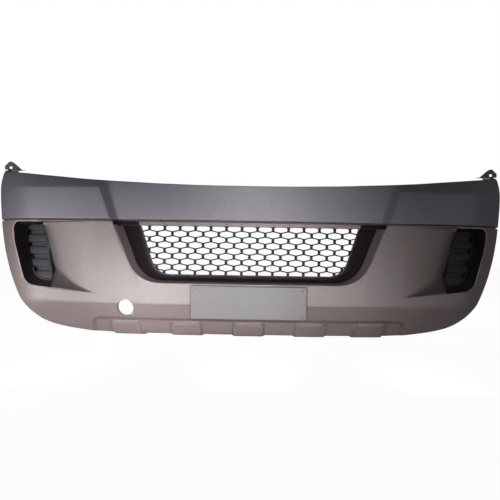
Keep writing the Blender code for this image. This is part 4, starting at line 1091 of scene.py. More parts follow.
def round_path(path, radius, steps=3):
    """Replaces every inner corner of a path by a short curve."""
    result = [path[0]]
    for a, b, c in zip(path, path[1:], path[2:]):
        first = b + (a - b).normalized() * min(radius, (a - b).length * 0.45)
        last = b + (c - b).normalized() * min(radius, (c - b).length * 0.45)
        for s in range(steps + 1):
            t = s / steps
            result.append(first * (1 - t) ** 2 + b * 2 * t * (1 - t) + last * t * t)
    result.append(path[-1])
    return result


def ribbon(name, stations, radius, wall, finish):
    """Walled ribbon round an opening: one path per station, all with rounded corners."""
    grid = np.array([round_path(station, radius) for station in stations]).swapaxes(0, 1)
    along, around = grid.shape[:2]
    piece = sheet(name, grid, finish, True)
    middle = piece.data.polygons[(along - 2) * around + around // 2]
    if middle.normal.y > 0:
        piece.data.flip_normals()
    return solidify(piece, wall, even=False)


print("wall at the middle:", round(on_wall(0.0, -0.25), 4))

# %% [markdown]
# The recess for the grille, the two fog lamp openings and the towing eye hole are cut
# through the wall.  Each cut is a straight prism along the driving direction, because that
# is how a mould's slide would form them.  The towing eye hole has a square key notch, and a
# round collar behind it that stiffens its edge.

# %% Cut the openings, add the collar
RECESS = (-0.016, 0.479, 0.395, -0.220, 0.0865)
TOW_PLACE = (-0.4349, -0.308)
TOW_RADIUS = 0.029
TOW_NOTCH, NOTCH_TURN, NOTCH_HALF = 0.0045, radians(318), radians(11)
COLLAR_RADII, COLLAR_LENGTH, COLLAR_WALL = (0.0306, 0.0300), 0.024, 0.0022
FOG_LOOP = [
    (0.7620, -0.0078), (0.8000, -0.0078), (0.8420, -0.0078), (0.8580, -0.0190),
    (0.8630, -0.0400), (0.8573, -0.0847), (0.8470, -0.1180), (0.8363, -0.1512),
    (0.8198, -0.2030), (0.8080, -0.2199), (0.7867, -0.2331), (0.7606, -0.2379),
    (0.7330, -0.2406), (0.7060, -0.2432), (0.7100, -0.1800), (0.7206, -0.1494),
    (0.7267, -0.1090), (0.7410, -0.0563), (0.7510, -0.0300), (0.7575, -0.0135)]
FOG_EDGE = spline_loop(FOG_LOOP)
FOG_TOP = max(height for _, height in FOG_EDGE)


def tow_hole_outline():
    points = []
    for i in range(72):
        angle = tau * i / 72
        reach = TOW_RADIUS + (TOW_NOTCH if abs(angle - NOTCH_TURN) < NOTCH_HALF else 0.0)
        points.append((TOW_PLACE[0] + reach * cos(angle), TOW_PLACE[1] + reach * sin(angle)))
    return points


def tow_collar():
    near, far = (oval(*TOW_PLACE, radius, radius, 48) for radius in COLLAR_RADII)
    seats = [on_wall(x, h, True) - 0.001 for x, h in near]
    grid = np.array([[at(x, y, h) for (x, h), y in zip(near, seats)],
                     [at(x, y + COLLAR_LENGTH, h) for (x, h), y in zip(far, seats)]])
    piece = sheet("tow_collar", grid, COVER_GREY, True)
    return outward(solidify(piece, COLLAR_WALL, offset=0.0))


openings = [prism("recess_cut", ring_outline(RECESS), -0.2, 0.2, COVER_GREY),
            prism("tow_cut", tow_hole_outline(), -0.2, 0.2, COVER_GREY)]
for hand in (-1, 1):
    openings.append(prism("fog_cut", [(hand * x, h) for x, h in FOG_EDGE], -0.2, 0.3,
                          COVER_GREY))
cut(cover, join("openings", openings), itself=True)
print("cover after the cuts:", len(cover.data.polygons), "faces")
cover = join("lower_cover_fine", [cover, tow_collar()])

# %% [markdown]
# ## The grille surround
# The surround is a black funnel clipped in from behind.  Its flange lies on the back of the
# cover, its walls run back to a narrow ledge, and the mesh is screwed behind that ledge.
# The cover's own edge turns in beside it and shows as a grey strip.  A black bead with a painted
# highlight runs round the ledge, and a flat black plate darkens each upper corner.

# %% Paths of the surround, the grey strip and the beads
FUNNEL_END = (-0.0080, 0.4062, 0.346, -0.201, 0.075)
MESH_OPENING = (-0.0125, 0.3926, 0.3344, -0.190, 0.055)
FUNNEL_DEPTH = 0.042
RETURN_SHARE = 0.32
RETURN_DROP = 0.016
FLANGE_REACH, FLANGE_GAP, FLANGE_TOP = 0.012, 0.0016, -0.0140
# Corners of a flat black plate that darkens each upper corner of the recess
DARK_CORNER_PLATE = ((0.3930, -0.0032), (0.4830, -0.0032), (0.4780, -0.0172), (0.3885, -0.0172))
BEAD_CORNER = 0.0008
STRIP_GAP, STRIP_WALL, SURROUND_WALL = 0.0006, 0.0011, 0.0025


def front_arc(x):
    return NOSE_Y + FRONT_RADIUS - sqrt(FRONT_RADIUS ** 2 - x * x)


def surround_stations():
    rings = [ring_outline(RECESS, grow) for grow in (FLANGE_REACH, 0.002, -0.0012)]
    stations = []
    for o, n, i, e, l in zip(*rings, ring_outline(FUNNEL_END), ring_outline(MESH_OPENING)):
        outer_height = min(o[1], FLANGE_TOP)
        seat = on_wall(n[0], min(n[1], SEAM_CLEAR), True) + FLANGE_GAP
        back = max(on_wall(o[0], outer_height, True) + FLANGE_GAP, seat - 0.01)
        beside = i[1] < RECESS[0] - 0.0013
        if i[1] > RECESS[0] - 0.0013:
            back = seat
        face = at(i[0], seat, i[1])
        end_point = at(e[0], front_arc(e[0]) + FUNNEL_DEPTH, e[1])
        turn = face.lerp(end_point, RETURN_SHARE if beside else 0.02)
        turn.y += RETURN_DROP if beside else 0.0
        stations.append([at(o[0], back, outer_height), face, turn, end_point,
                         at(l[0], front_arc(l[0]) + FUNNEL_DEPTH, l[1])])
    return stations


def recess_return():
    """The cover's edge turns in and shows as a strip of its own grey beside the funnel."""
    stations = []
    for edge, path in zip(ring_outline(RECESS, 0.0002), surround_stations()):
        face = on_wall(edge[0], min(edge[1], SEAM_CLEAR))
        stations.append([at(edge[0], face + STRIP_GAP, edge[1]), path[2] - AXIS_Y * 0.0016,
                         path[2] + AXIS_Y * STRIP_GAP])
    return ribbon("recess_return", stations, BEAD_CORNER, STRIP_WALL, COVER_GREY)


def fog_bead(hand):
    """Rolled edge of the fog opening; it stands proud along the top and the outer side."""
    stations = []
    for (nx, nh), (fx, fh) in zip(grown(FOG_EDGE, 0.0004), grown(FOG_EDGE, 0.0030)):
        far = on_wall(hand * fx, fh)
        proud = 0.0013 * float(ramp(nx, 0.765, 0.785))
        stations.append([at(hand * fx, far + 0.0006, fh),
                         at(hand * (nx + fx) / 2, far - proud, (nh + fh) / 2),
                         at(hand * nx, far + 0.0012, nh)])
    return ribbon("fog_bead", stations, BEAD_CORNER, 0.0005, COVER_GREY)


def lip_loop():
    """Black bead round the opening of the ledge, lightened as a painted highlight."""
    stations = []
    for near, far in zip(ring_outline(MESH_OPENING, 0.0004), ring_outline(MESH_OPENING, 0.0026)):
        y = front_arc(far[0]) + FUNNEL_DEPTH
        stations.append([at(far[0], y + 0.0004, far[1]),
                         at((far[0] + near[0]) / 2, y - 0.0022, (far[1] + near[1]) / 2),
                         at(near[0], y + 0.0004, near[1])])
    return ribbon("lip", stations, BEAD_CORNER, 0.0006, PAINTED_HIGHLIGHT_EDGE)


def wall_patch(name, corners, proud, thick, finish, columns=8):
    """Thin plate lying on the cover's face between four corners, from the top left round."""
    a, b, c, d = (Vector(p) for p in corners)
    grid = np.zeros((3, columns + 1, 3))
    for r in range(3):
        for k in range(columns + 1):
            spot = d.lerp(a, r / 2).lerp(c.lerp(b, r / 2), k / columns)
            grid[r, k] = at(spot.x, on_wall(*spot) - proud, spot.y)
    return solidify(sheet(name, grid, finish), thick)


# %% [markdown]
# Painted shade darkens the shelf under each scoop and the wall where it dives towards the fog
# lamp, and a painted highlight lightens the outer and top edge of each fog lamp opening.  Both
# are measured here as a value for every corner of the cover's faces, and the cover's finish reads
# them.

# %% Measure the painted shade and the painted highlight
SLANT = 1.005          # a run on the seam for each unit of X, near the scoops
LEDGE_FROM, LEDGE_TO = 0.53, 0.80
LEDGE_MOST, LAMP_REACH, RIM_REACH = 0.93, 0.042, 0.005


def ledge_top(run):
    """Upper end of the painted shade: the crease at the tip, and up the wall beside the fog lamp.
    """
    return float(read_curve(SCOOP_CREASE, run)) + 0.034 * float(ramp(run, 0.56, 0.70))


def gap_to_lamp(run, height):
    """Distance from a place on the wall to the outline of the fog lamp opening."""
    ring = np.array(FOG_EDGE, dtype=float)
    step = np.roll(ring, -1, axis=0) - ring
    place = np.array((run, height))
    along = np.clip(((place - ring) * step).sum(1) / ((step ** 2).sum(1) + 1e-9), 0.0, 1.0)
    return float(np.linalg.norm(ring + step * along[:, None] - place, axis=1).min())


# Painted shade on the scoop shelf and on the wall under the lip beside the fog lamp
def ledge_painted_shade(x, height):
    run = x * SLANT
    low, high = float(read_curve(SCOOP_EDGE, run)), ledge_top(run)
    down = min(max((high - height) / max(high - low, 0.002), 0.0), 1.0)
    inward = min(max((run - LEDGE_FROM) / 0.04, 0.0), 1.0)
    shelf = down ** 0.7 * inward if run < 0.76 else 0.0
    inner = 1.0 - float(ramp(run, 0.775, 0.795))
    under = float(ramp(FOG_TOP - height, 0.0, 0.006))
    beside = max(1.0 - gap_to_lamp(run, height) / LAMP_REACH, 0.0) ** 1.3 * inner * under
    return LEDGE_MOST * max(shelf, beside)


# Painted highlight along the outer and top edge of the fog lamp opening
def rim_painted_highlight(x, height):
    outer = float(ramp(x, 0.80, 0.83))
    upper = float(ramp(height, FOG_TOP - 0.012, FOG_TOP - 0.003))
    return max(1.0 - gap_to_lamp(x, height) / RIM_REACH, 0.0) * max(outer, upper)


def in_ledge(run, height):
    return (LEDGE_FROM < run < LEDGE_TO
            and read_curve(SCOOP_EDGE, run) < height < -0.02)


def in_rim(run, height):
    return 0.68 < run < 0.98 and height > -0.26


def mark(mesh, name, inside, amount):
    """Writes an amount at the corners of the front faces that lie inside a region."""
    made = mesh.attributes.new(name, "FLOAT", "CORNER")
    for face in mesh.polygons:
        run, height = abs(face.center.x) * SLANT, face.center.z - SEAM_Z
        if face.normal.y < 0.2 and inside(run, height):
            for corner in face.loop_indices:
                place = mesh.vertices[mesh.loops[corner].vertex_index].co
                made.data[corner].value = amount(abs(place.x), place.z - SEAM_Z)


# %% Finish the cover and build the surround
cover = join("lower_cover_fine", [cover, recess_return(), fog_bead(1), fog_bead(-1)])
# Painted shade in the scoops, then a painted highlight on the fog lamp rims
mark(cover.data, "ledge", in_ledge, ledge_painted_shade)
mark(cover.data, "rim", in_rim, rim_painted_highlight)
shade(cover, 38)
keep(cover, "cover_grey_plastic", "lower_cover")

# A flat black plate on each upper corner of the recess, darkening it
shoulder = wall_patch("shoulder", DARK_CORNER_PLATE, 0.0008, 0.0016, SURROUND_BLACK)
surround = ribbon("grille_surround_fine", surround_stations(), 0.0022, SURROUND_WALL,
                  SURROUND_BLACK)
surround = join("grille_surround_fine",
                [surround, lip_loop(), shoulder, mirrored(shoulder, "shoulder_left")])
shade(surround, 30)
keep(surround, "surround_black_plastic", "grille_surround")

# %% [markdown]
# ## The honeycomb mesh
# The mesh is one moulding of flat six-sided openings.  A rule makes it: a grid of points
# with every other row moved half a pitch, one rounded six-sided curve at each point, and a
# sheet filled between the curves.  The sheet gets the depth of the bars, then is bent onto
# the bumper's front arc.  Its pitches and bar sizes are named inputs of the tree.

# %% Geometry Nodes helpers
def grow_piece(name, tree, start=None, **values):
    """Object carrying the tree with its named inputs set, settled into mesh."""
    piece = show(name, start or bpy.data.meshes.new(name))
    step = piece.modifiers.new("nodes", "NODES")
    step.node_group = tree
    for item in tree.interface.items_tree:
        key = item.name.replace(" ", "_")
        if item.item_type == "SOCKET" and item.in_out == "INPUT" and key in values:
            step[item.identifier] = values[key]
    settle(piece)
    print(f"{name}: {len(piece.data.polygons)} faces from '{tree.name}'")
    return piece


def painted(add, geometry, read):
    """Realize Instances, then Set Material from the named input."""
    real = add("GeometryNodeRealizeInstances", geometry)
    return add("GeometryNodeSetMaterial", Geometry=real, Material=read["Material"])


def gather(add, *parts):
    both = add("GeometryNodeJoinGeometry")
    for part in parts:
        add.feed(both.inputs[0], part)
    return both


def place_now(add):
    return split(add, add("GeometryNodeInputPosition"))


def rounded_corners(add, curve, radius, count):
    return add("GeometryNodeFilletCurve", mode="POLY", Curve=curve, Radius=radius,
               Count=count, Limit_Radius=True)


# %% The honeycomb tree
CELL_PITCH = 0.0553


def honeycomb_tree():
    add, read, give = group("bent honeycomb", "Geometry", {
        "Geometry": "Geometry", "Cell Pitch": CELL_PITCH, "Row Pitch": 0.0199,
        "Half Width": 0.0230, "Half Height": 0.0108, "Side Half": 0.0058, "Corner": 0.0035,
        "Depth": 0.006, "Columns": 18, "Rows": 12, "Top Row": -0.0045,
        "Arc Radius": FRONT_RADIUS, "Front": 0.0, "Material": "Material"},
        {"Geometry": "Geometry"})
    pitch, row_pitch = read["Cell Pitch"], read["Row Pitch"]

    # one unit hexagon, standing on a corner, scaled to the cell
    circle = add("GeometryNodeCurvePrimitiveCircle", Resolution=6, Radius=1.0)
    spin = add("GeometryNodeTransform", circle, Rotation=(0.0, 0.0, radians(30)))
    x, y, _ = place_now(add)
    wide = x / cos(radians(30)) * read["Half Width"]
    climb = (y.do("ABSOLUTE") - 0.5) * 2.0
    tall = climb.do("MULTIPLY_ADD", read["Half Height"] - read["Side Half"], read["Side Half"])
    cell = add("GeometryNodeSetPosition", Geometry=spin,
               Position=vector(add, wide, tall * y.do("SIGN")))
    cell = rounded_corners(add, cell, read["Corner"], 3)

    # the points: every other row moved by half a pitch
    across = (read["Columns"] - 1.0) * pitch
    down = (read["Rows"] - 1.0) * row_pitch
    grid = add("GeometryNodeMeshGrid", Size_X=across, Size_Y=down,
               Vertices_X=read["Columns"], Vertices_Y=read["Rows"])
    from_top = (down / 2.0 - place_now(add)[1]) / row_pitch
    odd = from_top.do("ROUND").do("MODULO", 2.0)
    rise = read["Top Row"] + row_pitch - down / 2.0
    points = add("GeometryNodeSetPosition", Geometry=grid,
                 Offset=vector(add, odd * (pitch / 2.0) + pitch / 2.0, rise))
    copies = add("GeometryNodeInstanceOnPoints", Points=points, Instance=cell)
    loops = add("GeometryNodeRealizeInstances", copies)

    # the sheet between the cells
    frame_loop = add("GeometryNodeCurvePrimitiveQuadrilateral", Width=across + pitch,
                     Height=down + row_pitch * 2.0)
    centre = add("GeometryNodeTransform", frame_loop,
                 Translation=vector(add, pitch * 0.75, rise))
    fill = add("GeometryNodeFillCurve", Curve=gather(add, centre, loops))

    # depth, then the bend
    stand = add("GeometryNodeTransform", fill, Rotation=(radians(90), 0.0, 0.0))
    thick = add("GeometryNodeExtrudeMesh", mode="FACES", Mesh=stand, Individual=False,
                Offset_Scale=1.0, Offset=vector(add, None, read["Depth"]))
    closed = gather(add, thick, add("GeometryNodeFlipFaces", stand))
    weld = add("GeometryNodeMergeByDistance", closed, Distance=0.00002)
    arc, x = read["Arc Radius"], place_now(add)[0]
    sag = arc - (arc * arc - x * x).do("SQRT") + read["Front"]
    bent = add("GeometryNodeSetPosition", Geometry=weld, Offset=vector(add, None, sag))
    return give(painted(add, bent, read))


MESH_FRONT = FUNNEL_DEPTH + SURROUND_WALL + 0.0006
honeycomb = grow_piece("grille_mesh_fine", honeycomb_tree(), Front=NOSE_Y + MESH_FRONT,
                       Material=MESH_BLACK)
honeycomb.data.transform(Matrix.Translation((0.0, 0.0, SEAM_Z)))

# %% [markdown]
# The sheet is trimmed to the shape of the opening, and a plain border joins the cut bars.
# The border is what the four screws hold against the ledge of the surround.  Along its top,
# the heads of small pegs hook into the cover's rim.

# %% Trim the mesh, add its border and its pegs
BORDER_REACH, BORDER_WALL = 0.0075, 0.0056
PEG_COUNT, PEG_HEIGHT, PEG_WIDE, PEG_TALL = 14, -0.0098, 0.0021, 0.0016


cut(honeycomb, prism("mesh_outline", ring_outline(MESH_OPENING, 0.004), -0.2, 0.2,
                     MESH_BLACK), "INTERSECT")


def mesh_border():
    rings = zip(ring_outline(MESH_OPENING, -0.0012), ring_outline(MESH_OPENING, BORDER_REACH))
    stations = [[at(x, front_arc(x) + MESH_FRONT + 0.0002, h) for x, h in (far, near)]
                for near, far in rings]
    return ribbon("mesh_border", stations, 0.001, BORDER_WALL, MESH_BLACK)


def mesh_pegs():
    """Heads of the pegs that hook the mesh into the cover's rim, one over each bar."""
    rods = []
    for n in range(PEG_COUNT):
        x = (n + 0.5 - PEG_COUNT // 2) * CELL_PITCH
        y = on_wall(x, PEG_HEIGHT)
        outline = oval(x, PEG_HEIGHT, PEG_WIDE, PEG_TALL, 12)
        rods.append(prism("peg", outline, y - 0.0006, y + 0.0012, MESH_BLACK))
    return rods


honeycomb = join("grille_mesh_fine", [honeycomb, mesh_border()] + mesh_pegs())
shade(honeycomb, 32)
keep(honeycomb, "mesh_black_plastic", "grille_mesh")

# %% [markdown]
# ## The fog lamp bezels
# Each fog opening is lined by a black bezel.  It starts on the back of the cover, runs in
# to a tilted frame, and ends in a narrow ledge behind which the blanking panel sits.  The
# right bezel is modelled and the left one is its mirror image.

# %% Build the bezels
FOG_FRAME = [
    (0.7643, -0.0180), (0.7900, -0.0175), (0.8080, -0.0172), (0.8250, -0.0250),
    (0.8346, -0.0422), (0.8280, -0.0840), (0.8212, -0.1220), (0.8085, -0.1602),
    (0.7940, -0.1900), (0.7820, -0.2050), (0.7633, -0.2173), (0.7480, -0.2200),
    (0.7300, -0.2215), (0.7160, -0.2190), (0.7190, -0.1850), (0.7280, -0.1494),
    (0.7345, -0.1090), (0.7475, -0.0590), (0.7545, -0.0370), (0.7590, -0.0262)]
PLANE_X, PLANE_HEIGHT, PLANE_Y = 0.751, -0.030, 0.108
PLANE_SLOPE_X, PLANE_SLOPE_UP = 0.356, 0.145
FRAME_LEDGE = 0.0060
BEZEL_GAP, BEZEL_CLEAR = 0.0012, -0.0150


def on_plane(x, height, lift=0.0):
    """Point on the tilted plane that carries the frame of a fog opening."""
    y = PLANE_Y + PLANE_SLOPE_X * (x - PLANE_X) + PLANE_SLOPE_UP * (height - PLANE_HEIGHT)
    return at(x, y + lift, height)


def fog_stations():
    rings = [spline_loop(grown(FOG_LOOP, grow)) for grow in (0.010, 0.0022, -0.0006)]
    rings += [spline_loop(FOG_FRAME), spline_loop(grown(FOG_FRAME, -FRAME_LEDGE))]
    stations = []
    for outer, near, inner, edge, ledge in zip(*rings):
        seat = on_wall(near[0], min(near[1], BEZEL_CLEAR), True) + BEZEL_GAP
        back = on_wall(outer[0], min(outer[1], BEZEL_CLEAR), True) + BEZEL_GAP
        if inner[1] > -0.0160 or abs(back - seat) > 0.02:
            back, outer = seat + 0.0006, near
        stations.append([at(outer[0], back, min(outer[1], -0.0105)),
                         at(inner[0], seat, inner[1]), on_plane(*edge), on_plane(*ledge)])
    return stations


bezel = ribbon("fog_bezel_right_fine", fog_stations(), 0.0018, 0.0025, BEZEL_BLACK)
shade(bezel, 30)
keep_pair(bezel, "bezel_black_plastic", "fog_bezel")

# %% [markdown]
# ## The louvred blanks
# Where a fog lamp would go there is a blanking panel with five slats.  The slats repeat, so
# Geometry Nodes grow them: a rounded slat section is swept along a line, and copies are set
# down the tilted plane at one pitch.  They are trimmed to the frame, over a closed back.

# %% The slat tree
SLAT_DEPTH = 0.0125
SLAT_GAP = 0.0031
SLAT_TOP = (0.776, -0.0215)
BLANK_LIFT, BLANK_DEPTH = 0.0030, 0.0135
BLANK_MIDDLE = (0.776, -0.12)


def slat_tree():
    add, read, give = group("rows of slats", "Geometry", {
        "Geometry": "Geometry", "Pitch": 0.045, "Face": 0.027, "Depth": SLAT_DEPTH,
        "Round": 0.0022, "Length": 0.20, "Count": 6, "Material": "Material"},
        {"Geometry": "Geometry"})
    box = add("GeometryNodeCurvePrimitiveQuadrilateral", Width=read["Face"],
              Height=read["Depth"])
    profile = add("GeometryNodeTransform", rounded_corners(add, box, read["Round"], 4),
                  Rotation=(0.0, 0.0, radians(90)))
    half = read["Length"] * 0.5
    line = add("GeometryNodeCurvePrimitiveLine", Start=vector(add, half * -1.0),
               End=vector(add, half))
    slat = add("GeometryNodeCurveToMesh", Curve=line, Profile_Curve=profile, Fill_Caps=True)
    column = add("GeometryNodeMeshLine", mode="OFFSET", Count=read["Count"],
                 Offset=vector(add, None, None, read["Pitch"] * -1.0))
    copies = add("GeometryNodeInstanceOnPoints", Points=column, Instance=slat)
    return give(painted(add, copies, read))


def plane_frame():
    """Matrix of the tilted plane at the top slat: X along it, Y square to it, Z up it."""
    across = Vector((1.0, PLANE_SLOPE_X, 0.0)).normalized()
    up = Vector((0.0, PLANE_SLOPE_UP, 1.0))
    up = (up - across * up.dot(across)).normalized()
    turn = Matrix((across, up.cross(across), up)).transposed().to_4x4()
    return Matrix.Translation(on_plane(*SLAT_TOP)) @ turn


slats = grow_piece("slats", slat_tree(), Material=LOUVRE_BLACK)
slats.data.transform(plane_frame() @ Matrix.Translation((0.0, SLAT_DEPTH / 2 + SLAT_GAP, 0.0)))
outward(slats)
slats.data.materials.clear()
slats.data.materials.append(LOUVRE_BLACK)
frame_hole = spline_loop(grown(FOG_FRAME, -FRAME_LEDGE - 0.0008), 3)
cut(slats, prism("frame_hole", frame_hole, -0.1, 0.3, LOUVRE_BLACK), "INTERSECT", True)


def blank_back():
    """Closed back of the blank with a flat rim behind the bezel's ledge."""
    deep = BLANK_LIFT + BLANK_DEPTH
    middle = on_plane(*BLANK_MIDDLE, deep)
    stations = []
    for outer, inner in zip(spline_loop(grown(FOG_FRAME, 0.003), 3),
                            spline_loop(grown(FOG_FRAME, 0.0004 - FRAME_LEDGE), 3)):
        floor = on_plane(*inner, deep)
        stations.append([on_plane(*outer, BLANK_LIFT), on_plane(*inner, BLANK_LIFT), floor,
                         floor.lerp(middle, 0.5), floor.lerp(middle, 0.97)])
    return ribbon("blank_back", stations, 0.0012, 0.0018, LOUVRE_BLACK)


def blank_plug(count=16):
    """Small disc that closes the middle of the blank's back."""
    ring = oval(*BLANK_MIDDLE, 0.006, 0.012, count)
    points = [on_plane(x, h, BLANK_LIFT + BLANK_DEPTH + lift)
              for lift in (0.0002, 0.0016) for x, h in ring]
    faces = [range(count), range(count, 2 * count)[::-1], *grid_faces(2, count, True)]
    return outward(new_piece("blank_plug", points, faces, LOUVRE_BLACK))


blank = join("fog_blank_right_fine", [slats, blank_back(), blank_plug()])
shade(blank, 32)
keep_pair(blank, "louvre_black_plastic", "fog_blank")

# %% [markdown]
# ## The number plate panel
# A flat panel with rounded corners stands in front of the crease, because the plate needs a
# flat face and the cover has none.  Its walls run back to the cover, with a narrow joint all
# round, and four round recesses take its screws.

# %% Build the panel
PLATE_HALF = 0.203
PLATE_TOP = -0.225
PLATE_BOTTOM = -0.342
PLATE_MIDDLE = (PLATE_TOP + PLATE_BOTTOM) / 2
PLATE_FRONT = -0.0553
PLATE_TILT = 0.004
PLATE_CORNER = 0.006
PLATE_JOINT = 0.0012
SINK_RADIUS, SINK_DEPTH = 0.0044, 0.0024
PLATE_SPOTS = [(hand * 0.186, h) for h in (PLATE_TOP - 0.012, PLATE_BOTTOM + 0.012)
               for hand in (-1, 1)]


def plate_y(height):
    return PLATE_FRONT + PLATE_TILT * (PLATE_TOP - height) / (PLATE_TOP - PLATE_BOTTOM)


def plate_loop(inset, side=14):
    """Rounded rectangle with points along its sides."""
    right, top, low = PLATE_HALF - inset, PLATE_TOP - inset, PLATE_BOTTOM + inset
    radius = max(PLATE_CORNER - inset, 0.0012)
    corners = []
    for cx, cz, start in ((right - radius, top - radius, 90), (right - radius, low + radius, 0),
                          (radius - right, low + radius, -90),
                          (radius - right, top - radius, -180)):
        for i in range(7):
            angle = radians(start - 15 * i)
            corners.append((cx + radius * cos(angle), cz + radius * sin(angle)))
    points = []
    for a, b in zip(corners, corners[1:] + corners[:1]):
        parts = side if abs(a[0] - b[0]) > 0.1 or abs(a[1] - b[1]) > 0.05 else 1
        points += [(a[0] + (b[0] - a[0]) * i / parts, a[1] + (b[1] - a[1]) * i / parts)
                   for i in range(parts)]
    return points


def plate_stations():
    stations = []
    for (x, h), (ix, ih) in zip(plate_loop(0.0), plate_loop(0.010)):
        near = h + (0.004 if h < PLATE_MIDDLE else -0.004)
        back = min(on_wall(x, h), on_wall(x, near)) - PLATE_JOINT
        half_way = PLATE_MIDDLE + (ih - PLATE_MIDDLE) * 0.5
        stations.append([at(x, back, h),
                         at(x * 0.996, plate_y(h), PLATE_MIDDLE + (h - PLATE_MIDDLE) * 0.99),
                         at(ix, plate_y(ih), ih), at(ix * 0.5, plate_y(half_way), half_way)])
    return stations


def plate_panel():
    grid = np.array([round_path(s, 0.0022, 4) for s in plate_stations()]).swapaxes(0, 1)
    along, around = grid.shape[:2]
    faces = [*grid_faces(along, around, True), range((along - 1) * around, along * around)]
    piece = new_piece("plate_panel_fine", grid.reshape(-1, 3), faces, PANEL_GREY)
    if piece.data.polygons[-1].normal.y > 0:
        piece.data.flip_normals()
    return solidify(piece, WALL, even=False)


panel = plate_panel()
cut(panel, join("sinks", [
    prism("sink", oval(x, h, SINK_RADIUS, SINK_RADIUS, 32), plate_y(h) - 0.02,
          plate_y(h) + SINK_DEPTH, PANEL_GREY) for x, h in PLATE_SPOTS]))
shade(panel, 32)
keep(panel, "panel_grey_plastic", "plate_panel")

# %% [markdown]
# ## The wing brackets
# A small black bracket on each end of the top flange ties the band to the front wing.  It
# has a foot held by two screws and an upright ear with a slot for adjustment.

# %% Build the brackets
BRACKET_RUN = (1.057, 1.098)
BRACKET_DEPTH = (0.0085, 0.0225)
BRACKET_LIFT = (0.0003, 0.0033)
EAR_OUTLINE = [(0.8835, 0.1955), (0.9115, 0.2205), (0.9245, 0.2285), (0.9345, 0.2285),
               (0.9440, 0.2180), (0.9510, 0.2130), (0.9510, 0.1975)]
EAR_SLOT = [(0.9225, 0.2010), (0.9335, 0.2010), (0.9335, 0.2100), (0.9225, 0.2100)]


def bracket():
    (front, back), (low, high) = BRACKET_DEPTH, BRACKET_LIFT
    points = [skin(run, top_of_band(run), depth) + np.array((0, 0, lift))
              for run in np.linspace(*BRACKET_RUN, 5)
              for depth, lift in ((front, low), (back, low), (back, high), (front, high))]
    faces = [(0, 1, 2, 3), (19, 18, 17, 16), *grid_faces(5, 4, True)]
    foot = outward(new_piece("bracket_foot", points, faces, BRACKET_PAINTED_LIGHT))
    y = float(skin(BRACKET_RUN[0], 0.2)[1])
    cut(foot, prism("bracket_ear", EAR_OUTLINE, y - 0.0012, y + 0.003, BRACKET_PAINTED_LIGHT), "UNION")
    cut(foot, prism("ear_slot", EAR_SLOT, y - 0.03, y + 0.03, BRACKET_PAINTED_LIGHT))
    edge = foot.modifiers.new("edge", "BEVEL")
    edge.width, edge.segments, edge.limit_method = 0.0006, 2, "ANGLE"
    shade(settle(foot), 35)
    return foot


keep_pair(bracket(), "bracket_black_plastic", "wing_bracket")

# %% [markdown]
# ## The fasteners
# Four sets of screws hold the pieces together.  One lathe profile makes a pan head with a
# six-sided recess.  Geometry Nodes put a copy at every place, turned to the place's own
# axis and scaled to its own size.

# %% The fastener tree
UP, FORWARD, BACKWARD = (0, 0, 1), (0, -1, 0), (0, 1, 0)
# radius and length of the shank
SEAM_SIZE, BRACKET_SIZE = (0.0024, 0.0095), (0.0018, 0.0095)
PLATE_SIZE, MESH_SIZE = (0.0018, 0.012), (0.0018, 0.0085)
MESH_SPOTS = ((0.3732, -0.0750), (0.14, -0.2005))


def scatter_tree():
    add, read, give = group("fasteners on their places", "Geometry", {
        "Geometry": "Geometry", "Part": "Object", "Scale": 1.0, "Material": "Material"},
        {"Geometry": "Geometry"})
    axis = add("GeometryNodeInputNamedAttribute", data_type="FLOAT_VECTOR", Name="axis")
    turn = add("FunctionNodeAlignRotationToVector", axis="Z", Vector=axis.outputs["Attribute"])
    part = add("GeometryNodeObjectInfo", Object=read["Part"])
    copies = add("GeometryNodeInstanceOnPoints", Points=read["Geometry"],
                 Instance=part.outputs["Geometry"], Rotation=turn, Scale=read["Scale"])
    return give(painted(add, copies, read))


SCATTER = scatter_tree()


def lathe(name, profile, steps=24):
    """Solid of revolution about +Z from rows of (radius, height)."""
    points = [(x, y, z) for r, z in profile for x, y in oval(0.0, 0.0, r, r, steps)]
    faces = [*grid_faces(len(profile), steps, True), range(steps)[::-1],
             range(len(points) - steps, len(points))]
    return outward(new_piece(name, points, faces))


def screw_part(radius, length):
    """Screw standing on its seat at z = 0, tip down, with a six-sided recess."""
    head, top = radius * 2.05, radius * 1.25
    made = lathe("screw", [(radius * 0.4, -length), (radius * 0.95, -length + radius),
                           (radius * 0.95, 0.0), (head, 0.0), (head, top * 0.35),
                           (head * 0.92, top * 0.68), (head * 0.72, top * 0.93),
                           (head * 0.5, top)])
    cut(made, lathe("recess", [(radius * 0.75, top * 0.35), (radius * 0.85, top + 0.001)], 6))
    shade(made, 40)
    return made


def keep_screws(node, size, places, axis, finish, finish_slot):
    """A screw at each place, its head towards the axis, handed over as one piece."""
    mesh = bpy.data.meshes.new(node + "s")
    mesh.from_pydata([tuple(p) for p in places], [], [])
    axes = mesh.attributes.new("axis", "FLOAT_VECTOR", "POINT")
    for item in axes.data:
        item.vector = Vector(axis)
    part = screw_part(*size)
    made = grow_piece(node + "s", SCATTER, mesh, Part=part, Scale=1.0, Material=finish)
    bpy.data.objects.remove(part, do_unlink=True)
    made.data.materials.clear()
    made.data.materials.append(finish)
    keep(made, finish_slot, *[f"{node}_{i + 1}" for i in range(len(places))])


seam_places = [skin(hand * run, GROOVE_TOP + WALL + 0.0002, 0.021 + side_raise(run))
               for run in (0.16, 0.56, 0.98) for hand in (-1, 1)]
keep_screws("seam_screw", SEAM_SIZE, seam_places, UP, DARK_STEEL, "dark_steel")

